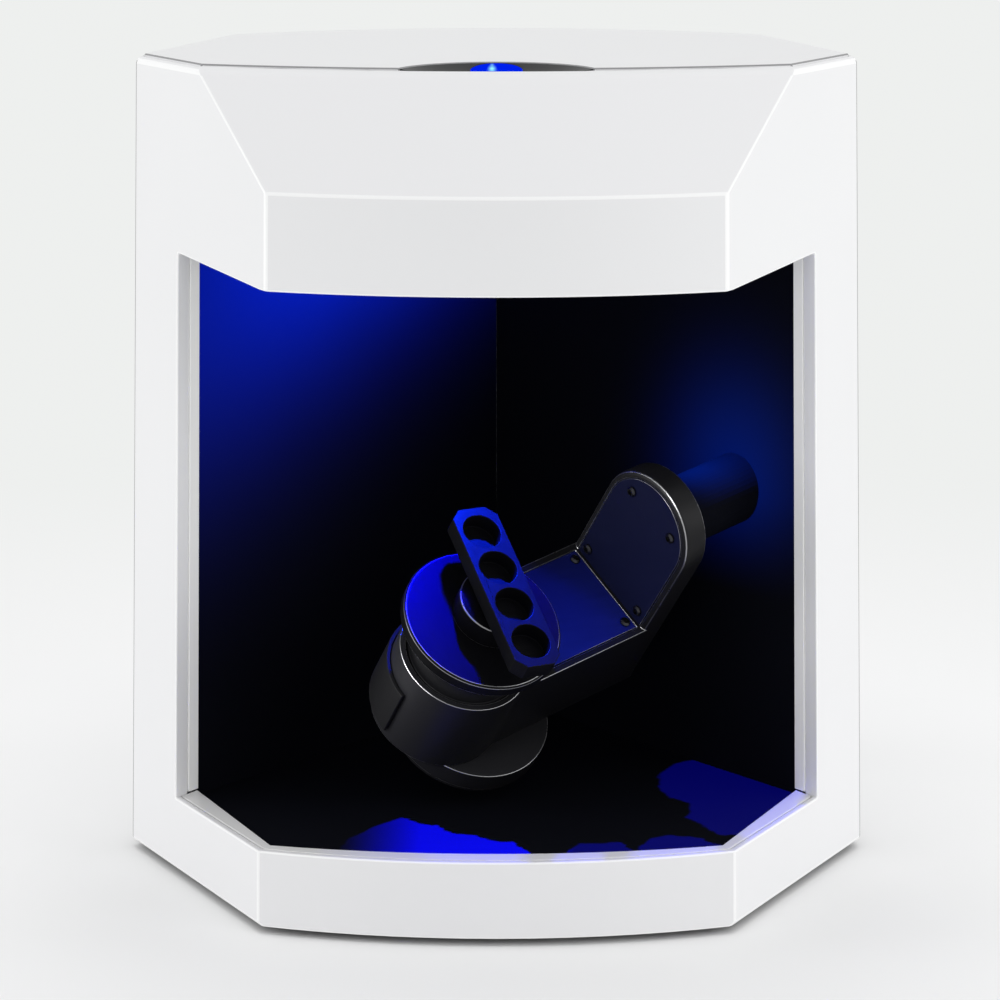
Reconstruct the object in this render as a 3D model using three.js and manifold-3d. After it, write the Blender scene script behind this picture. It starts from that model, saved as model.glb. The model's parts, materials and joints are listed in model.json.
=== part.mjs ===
// Desktop 3D scanner: a tapered six-sided casing with a hooded open front, a V-shaped scan
// chamber, and inside it an arm that swings on the right wall and carries a turntable.
// Millimetres, +Z up, the open front faces -Y. The origin is under the middle of the casing.

import * as THREE from 'three';
import { mergeVertices } from 'three/addons/utils/BufferGeometryUtils.js';
import Module from 'manifold-3d';

const wasm = await Module();
wasm.setup();

// Casing sizes, as plan half widths and depths at the foot of the casing
const footHeight = 3;
const casingTopZ = 326;
const topNarrowing = 8.25;
const sideHalf = 150;
const sideY = -10.7;
const backStep = 30;
const backHalf = sideHalf - backStep;
const backCornerY = 90;
const backSag = 36.5;
const frontStep = 59;
const frontHalf = sideHalf - frontStep;
const frontCornerY = -112.5;
const frontSag = 14;
const visorReach = 4.1;
const visorSag = 15;
const hoodHeight = 42.2;
const visorTopZ = casingTopZ - hoodHeight;
const hoodTopStep = 29.3;
const hoodTopHalf = sideHalf - hoodTopStep;
const hoodTopSag = 21;
const edgeRound = 3;
const leastRoundShare = 1 / 6;
const wall = 3;
const seamBehindSide = 8.7;
const seamGap = 0.3;

// Open front
const sillZ = 33;
const visorHeight = 36.2;
const openingTopZ = visorTopZ - visorHeight;
const openingRise = 4.5;
const postWidth = 42.6;
const mouthStep = 8.2;
const mouthDepth = 11.6;
const flangeShare = 0.55;
const lipHeight = 8;
const lipDepth = 14;
const treadInset = 5;
const treadDepth = 7.5;
const treadSag = 10;
const treadThickness = 5;

// Scan chamber
const panel = 3;
const cornerBeyondBack = 15;
const chamberCornerY = backCornerY + cornerBeyondBack;
const floorDrop = 2;
const chamberFloorZ = sillZ - floorDrop;
const ceilingRise = 14.4;
const ceilingZ = openingTopZ + ceilingRise;
const windowMargin = 35.4;
const windowDepth = 76;
const windowAhead = 2;
const windowOverlap = 4;
const windowGlass = 3;

// Top cover, dish and key
const coverInset = 2.8;
const coverThickness = 3.8;
const coverProud = 0.8;
const rimZ = casingTopZ - coverProud;
const coverLedge = 6;
const coverLedgeWidth = 6;
const dishAhead = 7.3;
const dishRadius = 38;
const dishLip = 2.2;
const dishHeight = 11;
const dishDepth = 5;
const keyBehind = 20.2;
const keyRadius = 9.6;
const keyFlange = 2;
const keyFlangeThickness = 2.4;
const keyTravel = 1;
const keyProud = 0.5;
const boardThickness = 1.6;
const keyBoardWidth = 34;
const keyBoardDepth = 18;
const postHalf = 2;

// Feet and base
const footRadius = 9;
const footRound = 1;
const footInset = 11;
const frontFoot = [frontHalf - footInset, frontCornerY + footInset * 2];
const backFoot = [backHalf - footInset * 2, backCornerY - footInset];
const baseThickness = 2.5;

// Swing arm, measured from the pivot's centre on the face of the cover plate
const pivotAlongWall = 37.4;
const pivotStandoff = 50;
const pivotRise = 110.7;
const pivotZ = chamberFloorZ + pivotRise;
const swingDip = THREE.MathUtils.degToRad(10.47);
const restTilt = THREE.MathUtils.degToRad(40.66);
const armHalf = 23.8;
const slabThickness = 10.8;
const slabChamfer = 2;
const shelfDrop = 40.3;
const armDepth = 39.5;
const reach = 77.4;
const cupRadius = 26.3;
const cupWall = 3.8;
const neckRadius = 14;
const cupFloor = 6;
const plateHalf = 20.7;
const plateThickness = 1.2;
const plateSink = 1.3;
const screwHead = 2.1;
const screwHeadHeight = 1.4;
const screwShank = 1.2;
const screwLength = 5;
const hexSocket = 1.1;
const hexDepth = 0.8;
const upperScrew = [12.4, 9.3];
const lowerScrew = [16.6, -34.5];
const shelfScrew = [16.9, -5.2];
const gap = 0.3;
const slack = 0.2;

// Drive under the arm
const flangeRadius = 32;
const flangeShift = [6.7, 15.7];
const flangeThickness = 9.4;
const capThickness = 2.2;
const capStep = 0.8;
const flangeFlat = 30.5;
const guardThickness = 1.7;
const guardLift = 4.5;
const guardHeight = 24;
const guardStart = THREE.MathUtils.degToRad(120);
const guardSweep = THREE.MathUtils.degToRad(152);
const motorRadius = 17.5;
const motorHeight = 17;

// Turntable and lift-off holder
const discRadius = 31.8;
const discRise = 23.5;
const discThickness = 6;
const discEdge = 0.8;
const hubRadius = 16;
const spindleRadius = 8;
const spindleLength = 34;
const bearingRadius = 22;
const bearingSeat = 23.5;
const bearingSink = 3;
const bearingFlange = 1.2;
const bearingRise = 10;
const holderTurn = THREE.MathUtils.degToRad(-15.7);
const holderShift = [0, 3];
const puckRadius = 15;
const puckHeight = 10;
const barLength = 74;
const barWidth = 19.5;
const barThickness = 10;
const barChamfer = 4;
const barHeel = 2.5;
const pocketRadius = 7.6;
const pocketPitch = 17.2;
const pocketDepth = 7;
const pocketCount = 4;

// Swing drive on the right wall
const podRadius = 14;
const shaftRadius = 6;
const shaftFlange = 14;
const shaftFlangeThickness = 3;
const ballRadius = 10;
const ballThickness = 4.7;
const mountSize = 38;
const mountBeyondWall = 9;
const swingMotorSize = 35.2;
const swingMotorLength = 24;
const swingMotorCorner = 4;
const shaftBeyondWall = 7.2;
const wallDistance = pivotStandoff / Math.cos(swingDip);
const mountEnd = wallDistance + mountBeyondWall;
const shaftEnd = wallDistance + shaftBeyondWall;

// Scan head over the window
const headBehindMouth = 8;
const headRise = 30;
const headZ = ceilingZ + headRise;
const headTilt = THREE.MathUtils.degToRad(-14.4);
const headPlateDepth = 34;
const headPlateThickness = 3;
const headPlateZ = 13;
const headLeg = 4;
const projectorSize = [46, 32, 20];
const projectorLensRadius = 13;
const lensLength = 11;
const cameraSize = [28, 28, 16];
const cameraLensRadius = 10;
const cameraTurn = THREE.MathUtils.degToRad(16);
const lensRim = 1.5;
const lensHollow = 3;

// Rear panel, fan and boards
const rearInset = 45;
const rearX = backHalf - rearInset;
const rearSink = 6;
const rearPanelZ = 42;
const rearPanelWidth = 74;
const rearPanelHeight = 46;
const rearPanelThickness = 2;
const rearPanelDepth = 2.8;
const rearWindowMargin = 4;
const seatRim = 3;
const inletSize = [27, 23, 19.5];
const inletFlange = 2;
const inletFlangeThickness = 1.5;
const inletWall = 2.4;
const inletRecess = 15;
const inletPin = [2, 12, 4.5];
const inletPinSpread = 6.5;
const inletX = -16;
const switchSize = [14, 16, 19.5];
const switchX = 9.5;
const switchRim = 1.6;
const rockerSink = 6;
const rockerBulge = 4;
const rockerThrow = THREE.MathUtils.degToRad(8);
const socketSize = [12, 15, 11];
const socketWall = 1.5;
const socketX = 25;
const fanDrop = 161;
const fanZ = casingTopZ - fanDrop;
const fanSize = 60;
const fanDepth = 15;
const fanBore = 27.5;
const fanHub = 9;
const fanBlades = 7;
const fanBladeThickness = 1.4;
const fanBladeTurn = THREE.MathUtils.degToRad(38);
const ventSlots = 11;
const ventPitch = 6;
const ventHeight = 2.6;
const ventWidth = 52;
const boardOffset = 10;
const boardStart = 34;
const boardLength = 116;
const boardHeight = 120;
const boardZ = 70;
const supplySize = [90, 30, 48];
const supplyStart = 42;
const supplyZ = 67;

// One length that takes every cut clear through what it cuts
const weldDistance = 0.0001;
const overrun = 40;
const arcSteps = 14;
const cornerSteps = 3;
const roundSteps = 48;
const fineSteps = 20;

const scanner = new THREE.Group();
scanner.name = 'desktop_3d_scanner';

// Colours and finishes
function finish(color, roughness, metalness = 0) {
  return new THREE.MeshStandardMaterial({ color, roughness, metalness });
}

const whiteShell = finish(0xf1f1f2, 0.42);
const greyTrim = finish(0x9d9da3, 0.5);
const blackPanel = finish(0x0b0b0e, 0.85);
const blackGloss = finish(0x101014, 0.15);
const darkCasting = finish(0x1b1b1f, 0.45, 0.3);
const darkPlate = finish(0x15171f, 0.35, 0.2);
const steel = finish(0xb9bcc2, 0.3, 1);
const blackSteel = finish(0x26262a, 0.4, 0.9);
const rubber = finish(0x151515, 0.9);
const circuit = finish(0x14402a, 0.6);
const glass = finish(0xc9d4dc, 0.05);
const ledBlue = finish(0x1a3cff, 0.3);
const darkPlastic = finish(0x1c1c1f, 0.55);

// Solids: geometry in, boolean work, geometry out
function solid(geometry) {
  const bare = geometry.clone();
  for (const name of Object.keys(bare.attributes)) {
    if (name !== 'position') bare.deleteAttribute(name);
  }
  const merged = mergeVertices(bare, weldDistance);
  const vertProperties = new Float32Array(merged.attributes.position.array);
  const triVerts = new Uint32Array(merged.index.array);
  return new wasm.Manifold(new wasm.Mesh({ numProp: 3, vertProperties, triVerts }));
}

function geometryOf(shape) {
  const mesh = shape.getMesh();
  const geometry = new THREE.BufferGeometry();
  geometry.setAttribute('position', new THREE.BufferAttribute(mesh.vertProperties, 3));
  geometry.setIndex(new THREE.BufferAttribute(mesh.triVerts, 1));
  return geometry;
}

function join(...shapes) {
  return shapes.reduce((whole, shape) => whole.add(shape));
}

function cut(shape, ...tools) {
  return tools.reduce((left, tool) => left.subtract(tool), shape);
}

function moved(shape, matrix) {
  return shape.transform(matrix.elements);
}

function add(group, name, shape, material) {
  const geometry = geometryOf(shape);
  geometry.computeVertexNormals();
  const mesh = new THREE.Mesh(geometry, material);
  mesh.name = name;
  group.add(mesh);
  return mesh;
}

// Primitive solids. A box goes from one corner to the other.
function box(x0, x1, y0, y1, z0, z1) {
  const geometry = new THREE.BoxGeometry(x1 - x0, y1 - y0, z1 - z0);
  geometry.translate((x0 + x1) / 2, (y0 + y1) / 2, (z0 + z1) / 2);
  return solid(geometry);
}

// A turned piece about Z; the profile holds radius and height pairs and closes on the axis.
function turned(profile, steps = roundSteps) {
  const points = profile.map(([radius, z]) => new THREE.Vector2(radius, z));
  const geometry = new THREE.LatheGeometry(points, steps);
  geometry.rotateX(Math.PI / 2);
  return solid(geometry);
}

function cylinder(radius, z0, z1, x = 0, y = 0, steps = roundSteps) {
  const geometry = new THREE.CylinderGeometry(radius, radius, z1 - z0, steps);
  geometry.rotateX(Math.PI / 2);
  geometry.translate(x, y, (z0 + z1) / 2);
  return solid(geometry);
}

function ring(outer, inner, z0, z1, steps = roundSteps) {
  const points = [[inner, z0], [outer, z0], [outer, z1], [inner, z1], [inner, z0]];
  return turned(points, steps);
}

// Turns a piece built about Z so that it lies along -Y: its top then faces -Y.
const lieDown = new THREE.Matrix4().makeRotationX(Math.PI / 2);
function lying(shape) {
  return moved(shape, lieDown);
}

// A plan outline drawn straight up between two heights
function prism(points, z0, z1) {
  const shape = new THREE.Shape(points.map(([x, y]) => new THREE.Vector2(x, y)));
  const geometry = new THREE.ExtrudeGeometry(shape, { depth: z1 - z0, bevelEnabled: false });
  geometry.translate(0, 0, z0);
  return solid(geometry);
}

// A solid through outlines of the same number of points at rising heights
function loft(layers) {
  const count = layers[0].points.length;
  const flat = layers[0].points.map(([x, y]) => new THREE.Vector2(x, y));
  if (THREE.ShapeUtils.isClockWise(flat)) {
    return loft(layers.map(({ z, points }) => ({ z, points: points.slice().reverse() })));
  }
  const positions = [];
  const index = [];
  for (const { z, points } of layers) {
    for (const [x, y] of points) positions.push(x, y, z);
  }
  for (let k = 0; k + 1 < layers.length; k++) {
    for (let i = 0; i < count; i++) {
      const a = k * count + i;
      const b = k * count + (i + 1) % count;
      index.push(a, b, b + count, a, b + count, a + count);
    }
  }
  const last = (layers.length - 1) * count;
  for (const [a, b, c] of THREE.ShapeUtils.triangulateShape(flat, [])) {
    index.push(a, c, b);
    index.push(last + a, last + b, last + c);
  }
  const geometry = new THREE.BufferGeometry();
  geometry.setAttribute('position', new THREE.Float32BufferAttribute(positions, 3));
  geometry.setIndex(index);
  return solid(geometry);
}

// Plan outlines of the casing
function sagPoints(half, endY, sag, steps = arcSteps) {
  const radius = (half * half + sag * sag) / (2 * Math.abs(sag));
  const sweep = Math.asin(half / radius);
  const points = [];
  for (let i = 0; i <= steps; i++) {
    const angle = sweep * (2 * i / steps - 1);
    const drop = radius * (Math.cos(angle) - Math.cos(sweep));
    points.push([radius * Math.sin(angle), endY - Math.sign(sag) * drop]);
  }
  return points;
}

function taper(z) {
  return 1 - (topNarrowing / sideHalf) * (z - footHeight) / (casingTopZ - footHeight);
}

function insetOutline(points, distance) {
  const count = points.length;
  return points.map((point, i) => {
    const before = points[(i + count - 1) % count];
    const after = points[(i + 1) % count];
    const first = normalOf(before, point);
    const second = normalOf(point, after);
    const share = distance / (1 + first[0] * second[0] + first[1] * second[1]);
    return [point[0] - share * (first[0] + second[0]), point[1] - share * (first[1] + second[1])];
  });
}

function normalOf(from, to) {
  const length = Math.hypot(to[0] - from[0], to[1] - from[1]);
  return [(to[1] - from[1]) / length, (from[0] - to[0]) / length];
}

function roundedAt(points, corners, radius) {
  const count = points.length;
  const out = [];
  points.forEach((point, i) => {
    if (!corners.includes(i)) {
      out.push(point);
      return;
    }
    const before = points[(i + count - 1) % count];
    const after = points[(i + 1) % count];
    const first = normalOf(before, point);
    const second = normalOf(point, after);
    const turn = Math.acos(first[0] * second[0] + first[1] * second[1]);
    const share = radius / (1 + Math.cos(turn));
    const centre = [
      point[0] - share * (first[0] + second[0]),
      point[1] - share * (first[1] + second[1]),
    ];
    const start = Math.atan2(first[1], first[0]);
    for (let k = 0; k <= cornerSteps; k++) {
      const angle = start + turn * k / cornerSteps;
      out.push([centre[0] + radius * Math.cos(angle), centre[1] + radius * Math.sin(angle)]);
    }
  });
  return out;
}

const chamferSlope = (sideHalf - frontHalf) / (sideY - frontCornerY);

function chamferY(half) {
  return frontCornerY + (half - frontHalf) / chamferSlope;
}

const visorHalf = frontHalf - visorReach * chamferSlope;

// The front line at a height: the visor's, or above it the hood's as it climbs and draws back
function hoodFront(z) {
  const climb = Math.max(0, (z - visorTopZ) / (casingTopZ - visorTopZ));
  const half = visorHalf + climb * (hoodTopHalf - visorHalf);
  return sagPoints(half, chamferY(half), visorSag + climb * (hoodTopSag - visorSag));
}

const sillFront = sagPoints(frontHalf, frontCornerY, frontSag);

function casingOutline(z, inset = 0, front = hoodFront(z)) {
  const back = sagPoints(backHalf, backCornerY, -backSag).reverse();
  const sharp = [...front, [sideHalf, sideY], ...back, [-sideHalf, sideY]];
  const size = taper(z);
  const inner = insetOutline(sharp.map(([x, y]) => [x * size, y * size]), inset);
  const right = front.length;
  const corners = [0, right - 1, right, right + 1, right + back.length, right + 1 + back.length];
  return roundedAt(inner, corners, Math.max(edgeRound - inset, edgeRound * leastRoundShare));
}

function casingLayer(z, inset = 0, planZ = z) {
  return { z, points: casingOutline(planZ, inset) };
}

function sillLayer(z, inset = 0, planZ = z) {
  return { z, points: casingOutline(planZ, inset, sillFront) };
}

function casingBlock() {
  const layers = [
    casingLayer(footHeight, edgeRound / 2),
    casingLayer(footHeight + edgeRound / 2),
    casingLayer(visorTopZ),
    casingLayer(rimZ - edgeRound),
  ];
  for (let k = 1; k <= cornerSteps; k++) {
    const angle = (Math.PI / 2) * k / cornerSteps;
    const z = rimZ - edgeRound * (1 - Math.sin(angle));
    layers.push(casingLayer(z, edgeRound * (1 - Math.cos(angle))));
  }
  return loft(layers);
}

function casingCavity() {
  const ledgeZ = casingTopZ - coverLedge;
  const lower = loft([
    sillLayer(footHeight - overrun, wall, footHeight),
    sillLayer(footHeight, wall),
    sillLayer(openingTopZ, wall),
  ]);
  const upper = loft([
    casingLayer(openingTopZ, wall),
    casingLayer(visorTopZ - wall, wall, visorTopZ),
    casingLayer(ledgeZ, wall, ledgeZ + wall),
  ]);
  return join(lower, upper);
}

// What stands in front of the sill and the posts, below the visor
function sillSetback() {
  const outline = [
    ...sillFront,
    [frontHalf + overrun, frontCornerY],
    [frontHalf + overrun, frontCornerY - overrun],
    [-frontHalf - overrun, frontCornerY - overrun],
    [-frontHalf - overrun, frontCornerY],
  ];
  const layerAt = (z) => ({ z, points: outline.map(([x, y]) => [x * taper(z), y * taper(z)]) });
  return loft([layerAt(footHeight - overrun), layerAt(openingTopZ)]);
}

// Plan points of the opening's edge on the chamfer and of the chamber's mouth behind it
const chamferLength = Math.hypot(sideHalf - frontHalf, sideY - frontCornerY);
const edgeX = sideHalf - (sideHalf - frontHalf) * postWidth / chamferLength;
const edgeY = chamferY(edgeX);
const mouthHalf = edgeX - mouthStep;
const mouthY = edgeY + mouthDepth;
const revealLength = Math.hypot(mouthStep, mouthDepth);
const revealX = mouthStep / revealLength;
const revealY = mouthDepth / revealLength;

function revealPoint(share, outward = 0) {
  const along = share * revealLength;
  return [edgeX - revealX * along + revealY * outward, edgeY + revealY * along + revealX * outward];
}

function mirrored(points) {
  return points.map(([x, y]) => [-x, y]).reverse();
}

function taperedLoft(points, z0, z1) {
  const layerAt = (z) => ({ z, points: points.map(([x, y]) => [x * taper(z), y * taper(z)]) });
  return loft([layerAt(z0), layerAt(z1)]);
}

function frontOpening() {
  const far = -overrun / revealLength;
  const side = [revealPoint(far), revealPoint(1)];
  const outline = [
    [-side[1][0], side[1][1]],
    [-side[0][0], side[0][1]],
    [-side[0][0], frontCornerY - overrun],
    [side[0][0], frontCornerY - overrun],
    side[0],
    side[1],
  ];
  const plan = taperedLoft(outline, sillZ, openingTopZ + overrun);
  const riseZ = openingTopZ + openingRise;
  const half = frontHalf * taper(openingTopZ);
  const slope = openingRise / (edgeX * taper(riseZ) - half);
  const profile = [
    [-sideHalf, sillZ - overrun],
    [sideHalf, sillZ - overrun],
    [sideHalf, openingTopZ + slope * (sideHalf - half)],
    [half, openingTopZ],
    [-half, openingTopZ],
    [-sideHalf, openingTopZ + slope * (sideHalf - half)],
  ];
  const tall = moved(prism(profile, -sideHalf, sideHalf), lieDown);
  return plan.intersect(tall);
}

// The shell's own return beside the opening, and the grey bezel that carries it inward
function revealFlange(shares, z0, z1) {
  const outline = [
    revealPoint(shares[0]),
    revealPoint(shares[0], wall),
    revealPoint(shares[1], wall),
    revealPoint(shares[1]),
  ];
  const right = taperedLoft(outline, z0, z1);
  const left = taperedLoft(mirrored(outline), z0, z1);
  return [left, right];
}

function visorLip() {
  const z1 = openingTopZ + lipHeight;
  const outer = loft([casingLayer(openingTopZ), casingLayer(z1)]);
  const inner = loft([
    casingLayer(openingTopZ - overrun, lipDepth, openingTopZ),
    casingLayer(z1 + overrun, lipDepth, z1),
  ]);
  const frontOnly = box(-sideHalf, sideHalf, -sideHalf, edgeY, 0, casingTopZ);
  return cut(outer, inner).intersect(frontOnly);
}

function coverRecess() {
  const top = casingTopZ + overrun;
  const rebate = loft([
    casingLayer(casingTopZ - coverThickness, coverInset, casingTopZ),
    casingLayer(top, coverInset, casingTopZ),
  ]);
  const hole = loft([
    casingLayer(casingTopZ - overrun, coverInset + coverLedgeWidth, casingTopZ),
    casingLayer(top, coverInset + coverLedgeWidth, casingTopZ),
  ]);
  return join(rebate, hole);
}

// The bowl's middle lies ahead of the hood's top edge and the key behind it
const hoodEdgeY = (chamferY(hoodTopHalf) - hoodTopSag) * taper(casingTopZ);
const dishY = hoodEdgeY - dishAhead;
const keyY = hoodEdgeY + keyBehind;

function dishBlank(radius, lip, z0, z1) {
  const outline = loft([casingLayer(z0, lip, casingTopZ), casingLayer(z1, lip, casingTopZ)]);
  return cylinder(radius, z0, z1, 0, dishY).intersect(outline);
}

const dishBottomZ = casingTopZ - dishHeight;

function dishHole() {
  return dishBlank(dishRadius + gap, dishLip - gap, dishBottomZ - gap, casingTopZ + overrun);
}

const seamY = sideY + seamBehindSide;

function half(y0, y1) {
  return box(-sideHalf - overrun, sideHalf + overrun, y0, y1, 0, casingTopZ + overrun);
}

function buildFrontShell() {
  const flanges = revealFlange([0, flangeShare], sillZ - wall, openingTopZ + openingRise + wall);
  const shell = cut(casingBlock(), casingCavity());
  const inside = casingBlock();
  const trimmed = flanges.map((flange) => flange.intersect(inside));
  const whole = cut(join(shell, visorLip(), ...trimmed), sillSetback(), frontOpening());
  const front = whole.intersect(half(-sideHalf - overrun, seamY - seamGap / 2));
  add(scanner, 'front_shell', cut(front, coverRecess(), dishHole(), sillSeat()), whiteShell);
}

// Clears the inside of the sill band for the tread behind it
function sillSeat() {
  return taperedLoft(treadOutline(-gap), sillZ - treadThickness - gap, sillZ);
}

// The tread ends at the returns beside the opening, and a wall's thickness behind the sill's front
function treadOutline(inset) {
  const alongX = (sideHalf - frontHalf) / chamferLength;
  const alongY = (sideY - frontCornerY) / chamferLength;
  const beyond = wall / (alongX * revealY + alongY * revealX);
  const corner = [edgeX + alongX * beyond, edgeY + alongY * beyond];
  const back = revealPoint(1, wall);
  const sharp = [...sillFront, corner, back, ...mirrored([corner, back])];
  return insetOutline(sharp, wall + inset);
}

// Places along the rear of the casing, turned to the curve of the back
function rearFrame(x, z) {
  const radius = (backHalf * backHalf + backSag * backSag) / (2 * backSag);
  const size = taper(z);
  const angle = Math.asin(x / radius);
  const y = (backCornerY + backSag - radius * (1 - Math.cos(angle))) * size;
  const group = new THREE.Group();
  group.position.set(x * size, y, z);
  group.rotation.z = -angle;
  group.translateY(-rearSink);
  group.updateMatrix();
  return group;
}

const rearPanelFrame = rearFrame(rearX, rearPanelZ);
const fanFrame = rearFrame(-rearX, fanZ);
scanner.add(rearPanelFrame, fanFrame);

function ventCuts() {
  const slots = [];
  for (let i = 0; i < ventSlots; i++) {
    const z = ventPitch * (i - (ventSlots - 1) / 2);
    const slot = box(-ventWidth / 2, ventWidth / 2, 0, overrun, z - ventHeight / 2, z + ventHeight / 2);
    slots.push(moved(slot, fanFrame.matrix));
    slots.push(moved(slot, rearFrame(rearX, fanZ).matrix));
  }
  return slots;
}

function rearPanelWindow() {
  const halfWidth = rearPanelWidth / 2 - rearWindowMargin;
  const halfHeight = rearPanelHeight / 2 - rearWindowMargin;
  const opening = box(-halfWidth, halfWidth, -rearPanelDepth, overrun, -halfHeight, halfHeight);
  return moved(opening, rearPanelFrame.matrix);
}

// A collar inside the rear shell with a flat end that the panel or the fan sits against
function rearCollar(frame, halfWidth, halfHeight) {
  const face = -rearPanelDepth + gap;
  const x = halfWidth + seatRim;
  const z = halfHeight + seatRim;
  const outer = box(-x, x, face, overrun, -z, z);
  const inner = box(-halfWidth, halfWidth, face - overrun, overrun * 2, -halfHeight, halfHeight);
  return moved(cut(outer, inner), frame.matrix).intersect(casingBlock());
}

function buildRearShell() {
  const shell = cut(casingBlock(), casingCavity(), coverRecess());
  const panelCollar = rearCollar(rearPanelFrame, rearPanelWidth / 2 - rearWindowMargin,
    rearPanelHeight / 2 - rearWindowMargin);
  const fanCollar = rearCollar(fanFrame, fanSize / 2 - seatRim, fanSize / 2 - seatRim);
  const whole = join(shell, panelCollar, fanCollar);
  const rear = whole.intersect(half(seamY + seamGap / 2, sideHalf + overrun));
  add(scanner, 'rear_shell', cut(rear, rearPanelWindow(), ...ventCuts()), whiteShell);
}

function buildTopCover() {
  const inset = coverInset + gap;
  const z0 = casingTopZ - coverThickness;
  const plate = loft([casingLayer(z0, inset, casingTopZ), casingLayer(casingTopZ, inset)]);
  add(scanner, 'top_cover', cut(plate, dishHole()), whiteShell);
}

// A shallow dark bowl whose front is cut off by the hood's edge, with a round key on its rear slope
function buildDish() {
  const topZ = casingTopZ - gap;
  const blank = dishBlank(dishRadius, dishLip, dishBottomZ, topZ);
  const bowlRadius = (dishRadius * dishRadius + dishDepth * dishDepth) / (2 * dishDepth);
  const bowlMiddle = topZ - dishDepth + bowlRadius;
  const keyHole = cylinder(keyRadius + gap, dishBottomZ - overrun, topZ + overrun, 0, keyY);
  const dish = cut(blank, bowlCap(bowlRadius, bowlMiddle), keyHole);
  add(scanner, 'status_dish', dish, blackGloss);

  // The key's top follows the bowl, a little above its surface
  const key = new THREE.Group();
  key.position.set(0, keyY, dishBottomZ - gap - keyFlangeThickness);
  key.updateMatrix();
  scanner.add(key);
  const brim = keyRadius + keyFlange;
  const stem = turned([
    [0, 0],
    [brim, 0],
    [brim, keyFlangeThickness],
    [keyRadius, keyFlangeThickness],
    [keyRadius, dishHeight],
    [0, dishHeight],
  ]);
  const hollow = moved(bowlCap(bowlRadius - keyProud, bowlMiddle), key.matrix.clone().invert());
  add(key, 'power_key', cut(stem, hollow), ledBlue);
  const boardTop = -keyTravel - gap;
  const board = box(-keyBoardWidth / 2, keyBoardWidth / 2, -keyBoardDepth / 2, keyBoardDepth / 2,
    boardTop - boardThickness, boardTop);
  const postFoot = boardTop - boardThickness;
  const postTop = dishBottomZ - gap - key.position.z;
  const posts = [-1, 1].map((side) => box(side * keyBoardWidth / 2 - postHalf, side * keyBoardWidth / 2
    + postHalf, -keyBoardDepth / 2, keyBoardDepth / 2, postFoot, postTop));
  add(key, 'key_board', join(board, ...posts), circuit);
}

// Only the cap of the bowl's sphere that dips below the casing's top
function bowlCap(radius, middleZ) {
  const sphere = new THREE.SphereGeometry(radius, roundSteps * 2, roundSteps * 2);
  sphere.rotateX(Math.PI / 2);
  sphere.translate(0, dishY, middleZ);
  const region = box(-dishRadius - overrun, dishRadius + overrun, dishY - dishRadius - overrun,
    dishY + dishRadius + overrun, dishBottomZ, casingTopZ + overrun);
  return solid(sphere).intersect(region);
}

function buildBase() {
  const inset = wall + gap;
  const topZ = footHeight + baseThickness;
  const plate = loft([sillLayer(footHeight, inset, topZ), sillLayer(topZ, inset)]);
  add(scanner, 'base_pan', plate, darkPlastic);
  const places = [
    [-frontFoot[0], frontFoot[1]],
    frontFoot,
    [-backFoot[0], backFoot[1]],
    backFoot,
  ];
  places.forEach(([x, y], i) => {
    const foot = new THREE.Group();
    foot.position.set(x, y, 0);
    scanner.add(foot);
    add(foot, `rubber_foot_${i + 1}`, turned([
      [0, 0],
      [footRadius - footRound, 0],
      [footRadius, footRound],
      [footRadius, footHeight],
      [0, footHeight],
    ], fineSteps), rubber);
  });
}

// Scan chamber: two rear walls that meet in a V, floor, ceiling, window and the trims round the mouth
const wallAngle = Math.atan2(chamberCornerY - mouthY, mouthHalf);
const wallOutX = Math.sin(wallAngle);
const wallOutY = Math.cos(wallAngle);

function wallOutline() {
  return [
    [mouthHalf, mouthY],
    [mouthHalf + panel * wallOutX, mouthY + panel * wallOutY],
    [gap / 2, chamberCornerY + panel / wallOutY - gap * wallOutX / wallOutY / 2],
    [gap / 2, chamberCornerY - gap * wallOutX / wallOutY / 2],
  ];
}

function chamberOutline(outward, size = 1) {
  const arc = sagPoints((frontHalf - treadInset) * size, (frontCornerY + treadDepth) * size,
    treadSag * size);
  const offset = panel * outward;
  return [
    ...arc,
    [mouthHalf, mouthY],
    [mouthHalf + offset * wallOutX, mouthY + offset * wallOutY],
    [0, chamberCornerY + offset / wallOutY],
    [-mouthHalf - offset * wallOutX, mouthY + offset * wallOutY],
    [-mouthHalf, mouthY],
  ];
}

const pivotX = mouthHalf - pivotAlongWall * wallOutY - pivotStandoff * wallOutX;
const pivotY = mouthY + pivotAlongWall * wallOutX - pivotStandoff * wallOutY;

// The turned frame of the pivot: X along the wall, -Y along the swing axis into the chamber
function swingFrame(tilt) {
  const into = new THREE.Vector3(-wallOutX, -wallOutY, 0);
  const up = new THREE.Vector3(0, 0, 1);
  const axis = into.clone().multiplyScalar(Math.cos(swingDip)).addScaledVector(up, -Math.sin(swingDip));
  const rise = into.clone().multiplyScalar(Math.sin(swingDip)).addScaledVector(up, Math.cos(swingDip));
  const along = new THREE.Vector3(wallOutY, -wallOutX, 0);
  const normal = rise.clone().multiplyScalar(Math.cos(tilt)).addScaledVector(along, Math.sin(tilt));
  const across = along.clone().multiplyScalar(Math.cos(tilt)).addScaledVector(rise, -Math.sin(tilt));
  const group = new THREE.Group();
  const basis = new THREE.Matrix4().makeBasis(across, axis.clone().negate(), normal);
  group.quaternion.setFromRotationMatrix(basis);
  group.position.set(pivotX, pivotY, pivotZ);
  group.updateMatrix();
  return group;
}

const driveFrame = swingFrame(0);
const armFrame = swingFrame(restTilt);
scanner.add(driveFrame, armFrame);

const windowWidth = 2 * (mouthHalf - windowMargin);
const windowY = mouthY - windowAhead;

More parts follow.
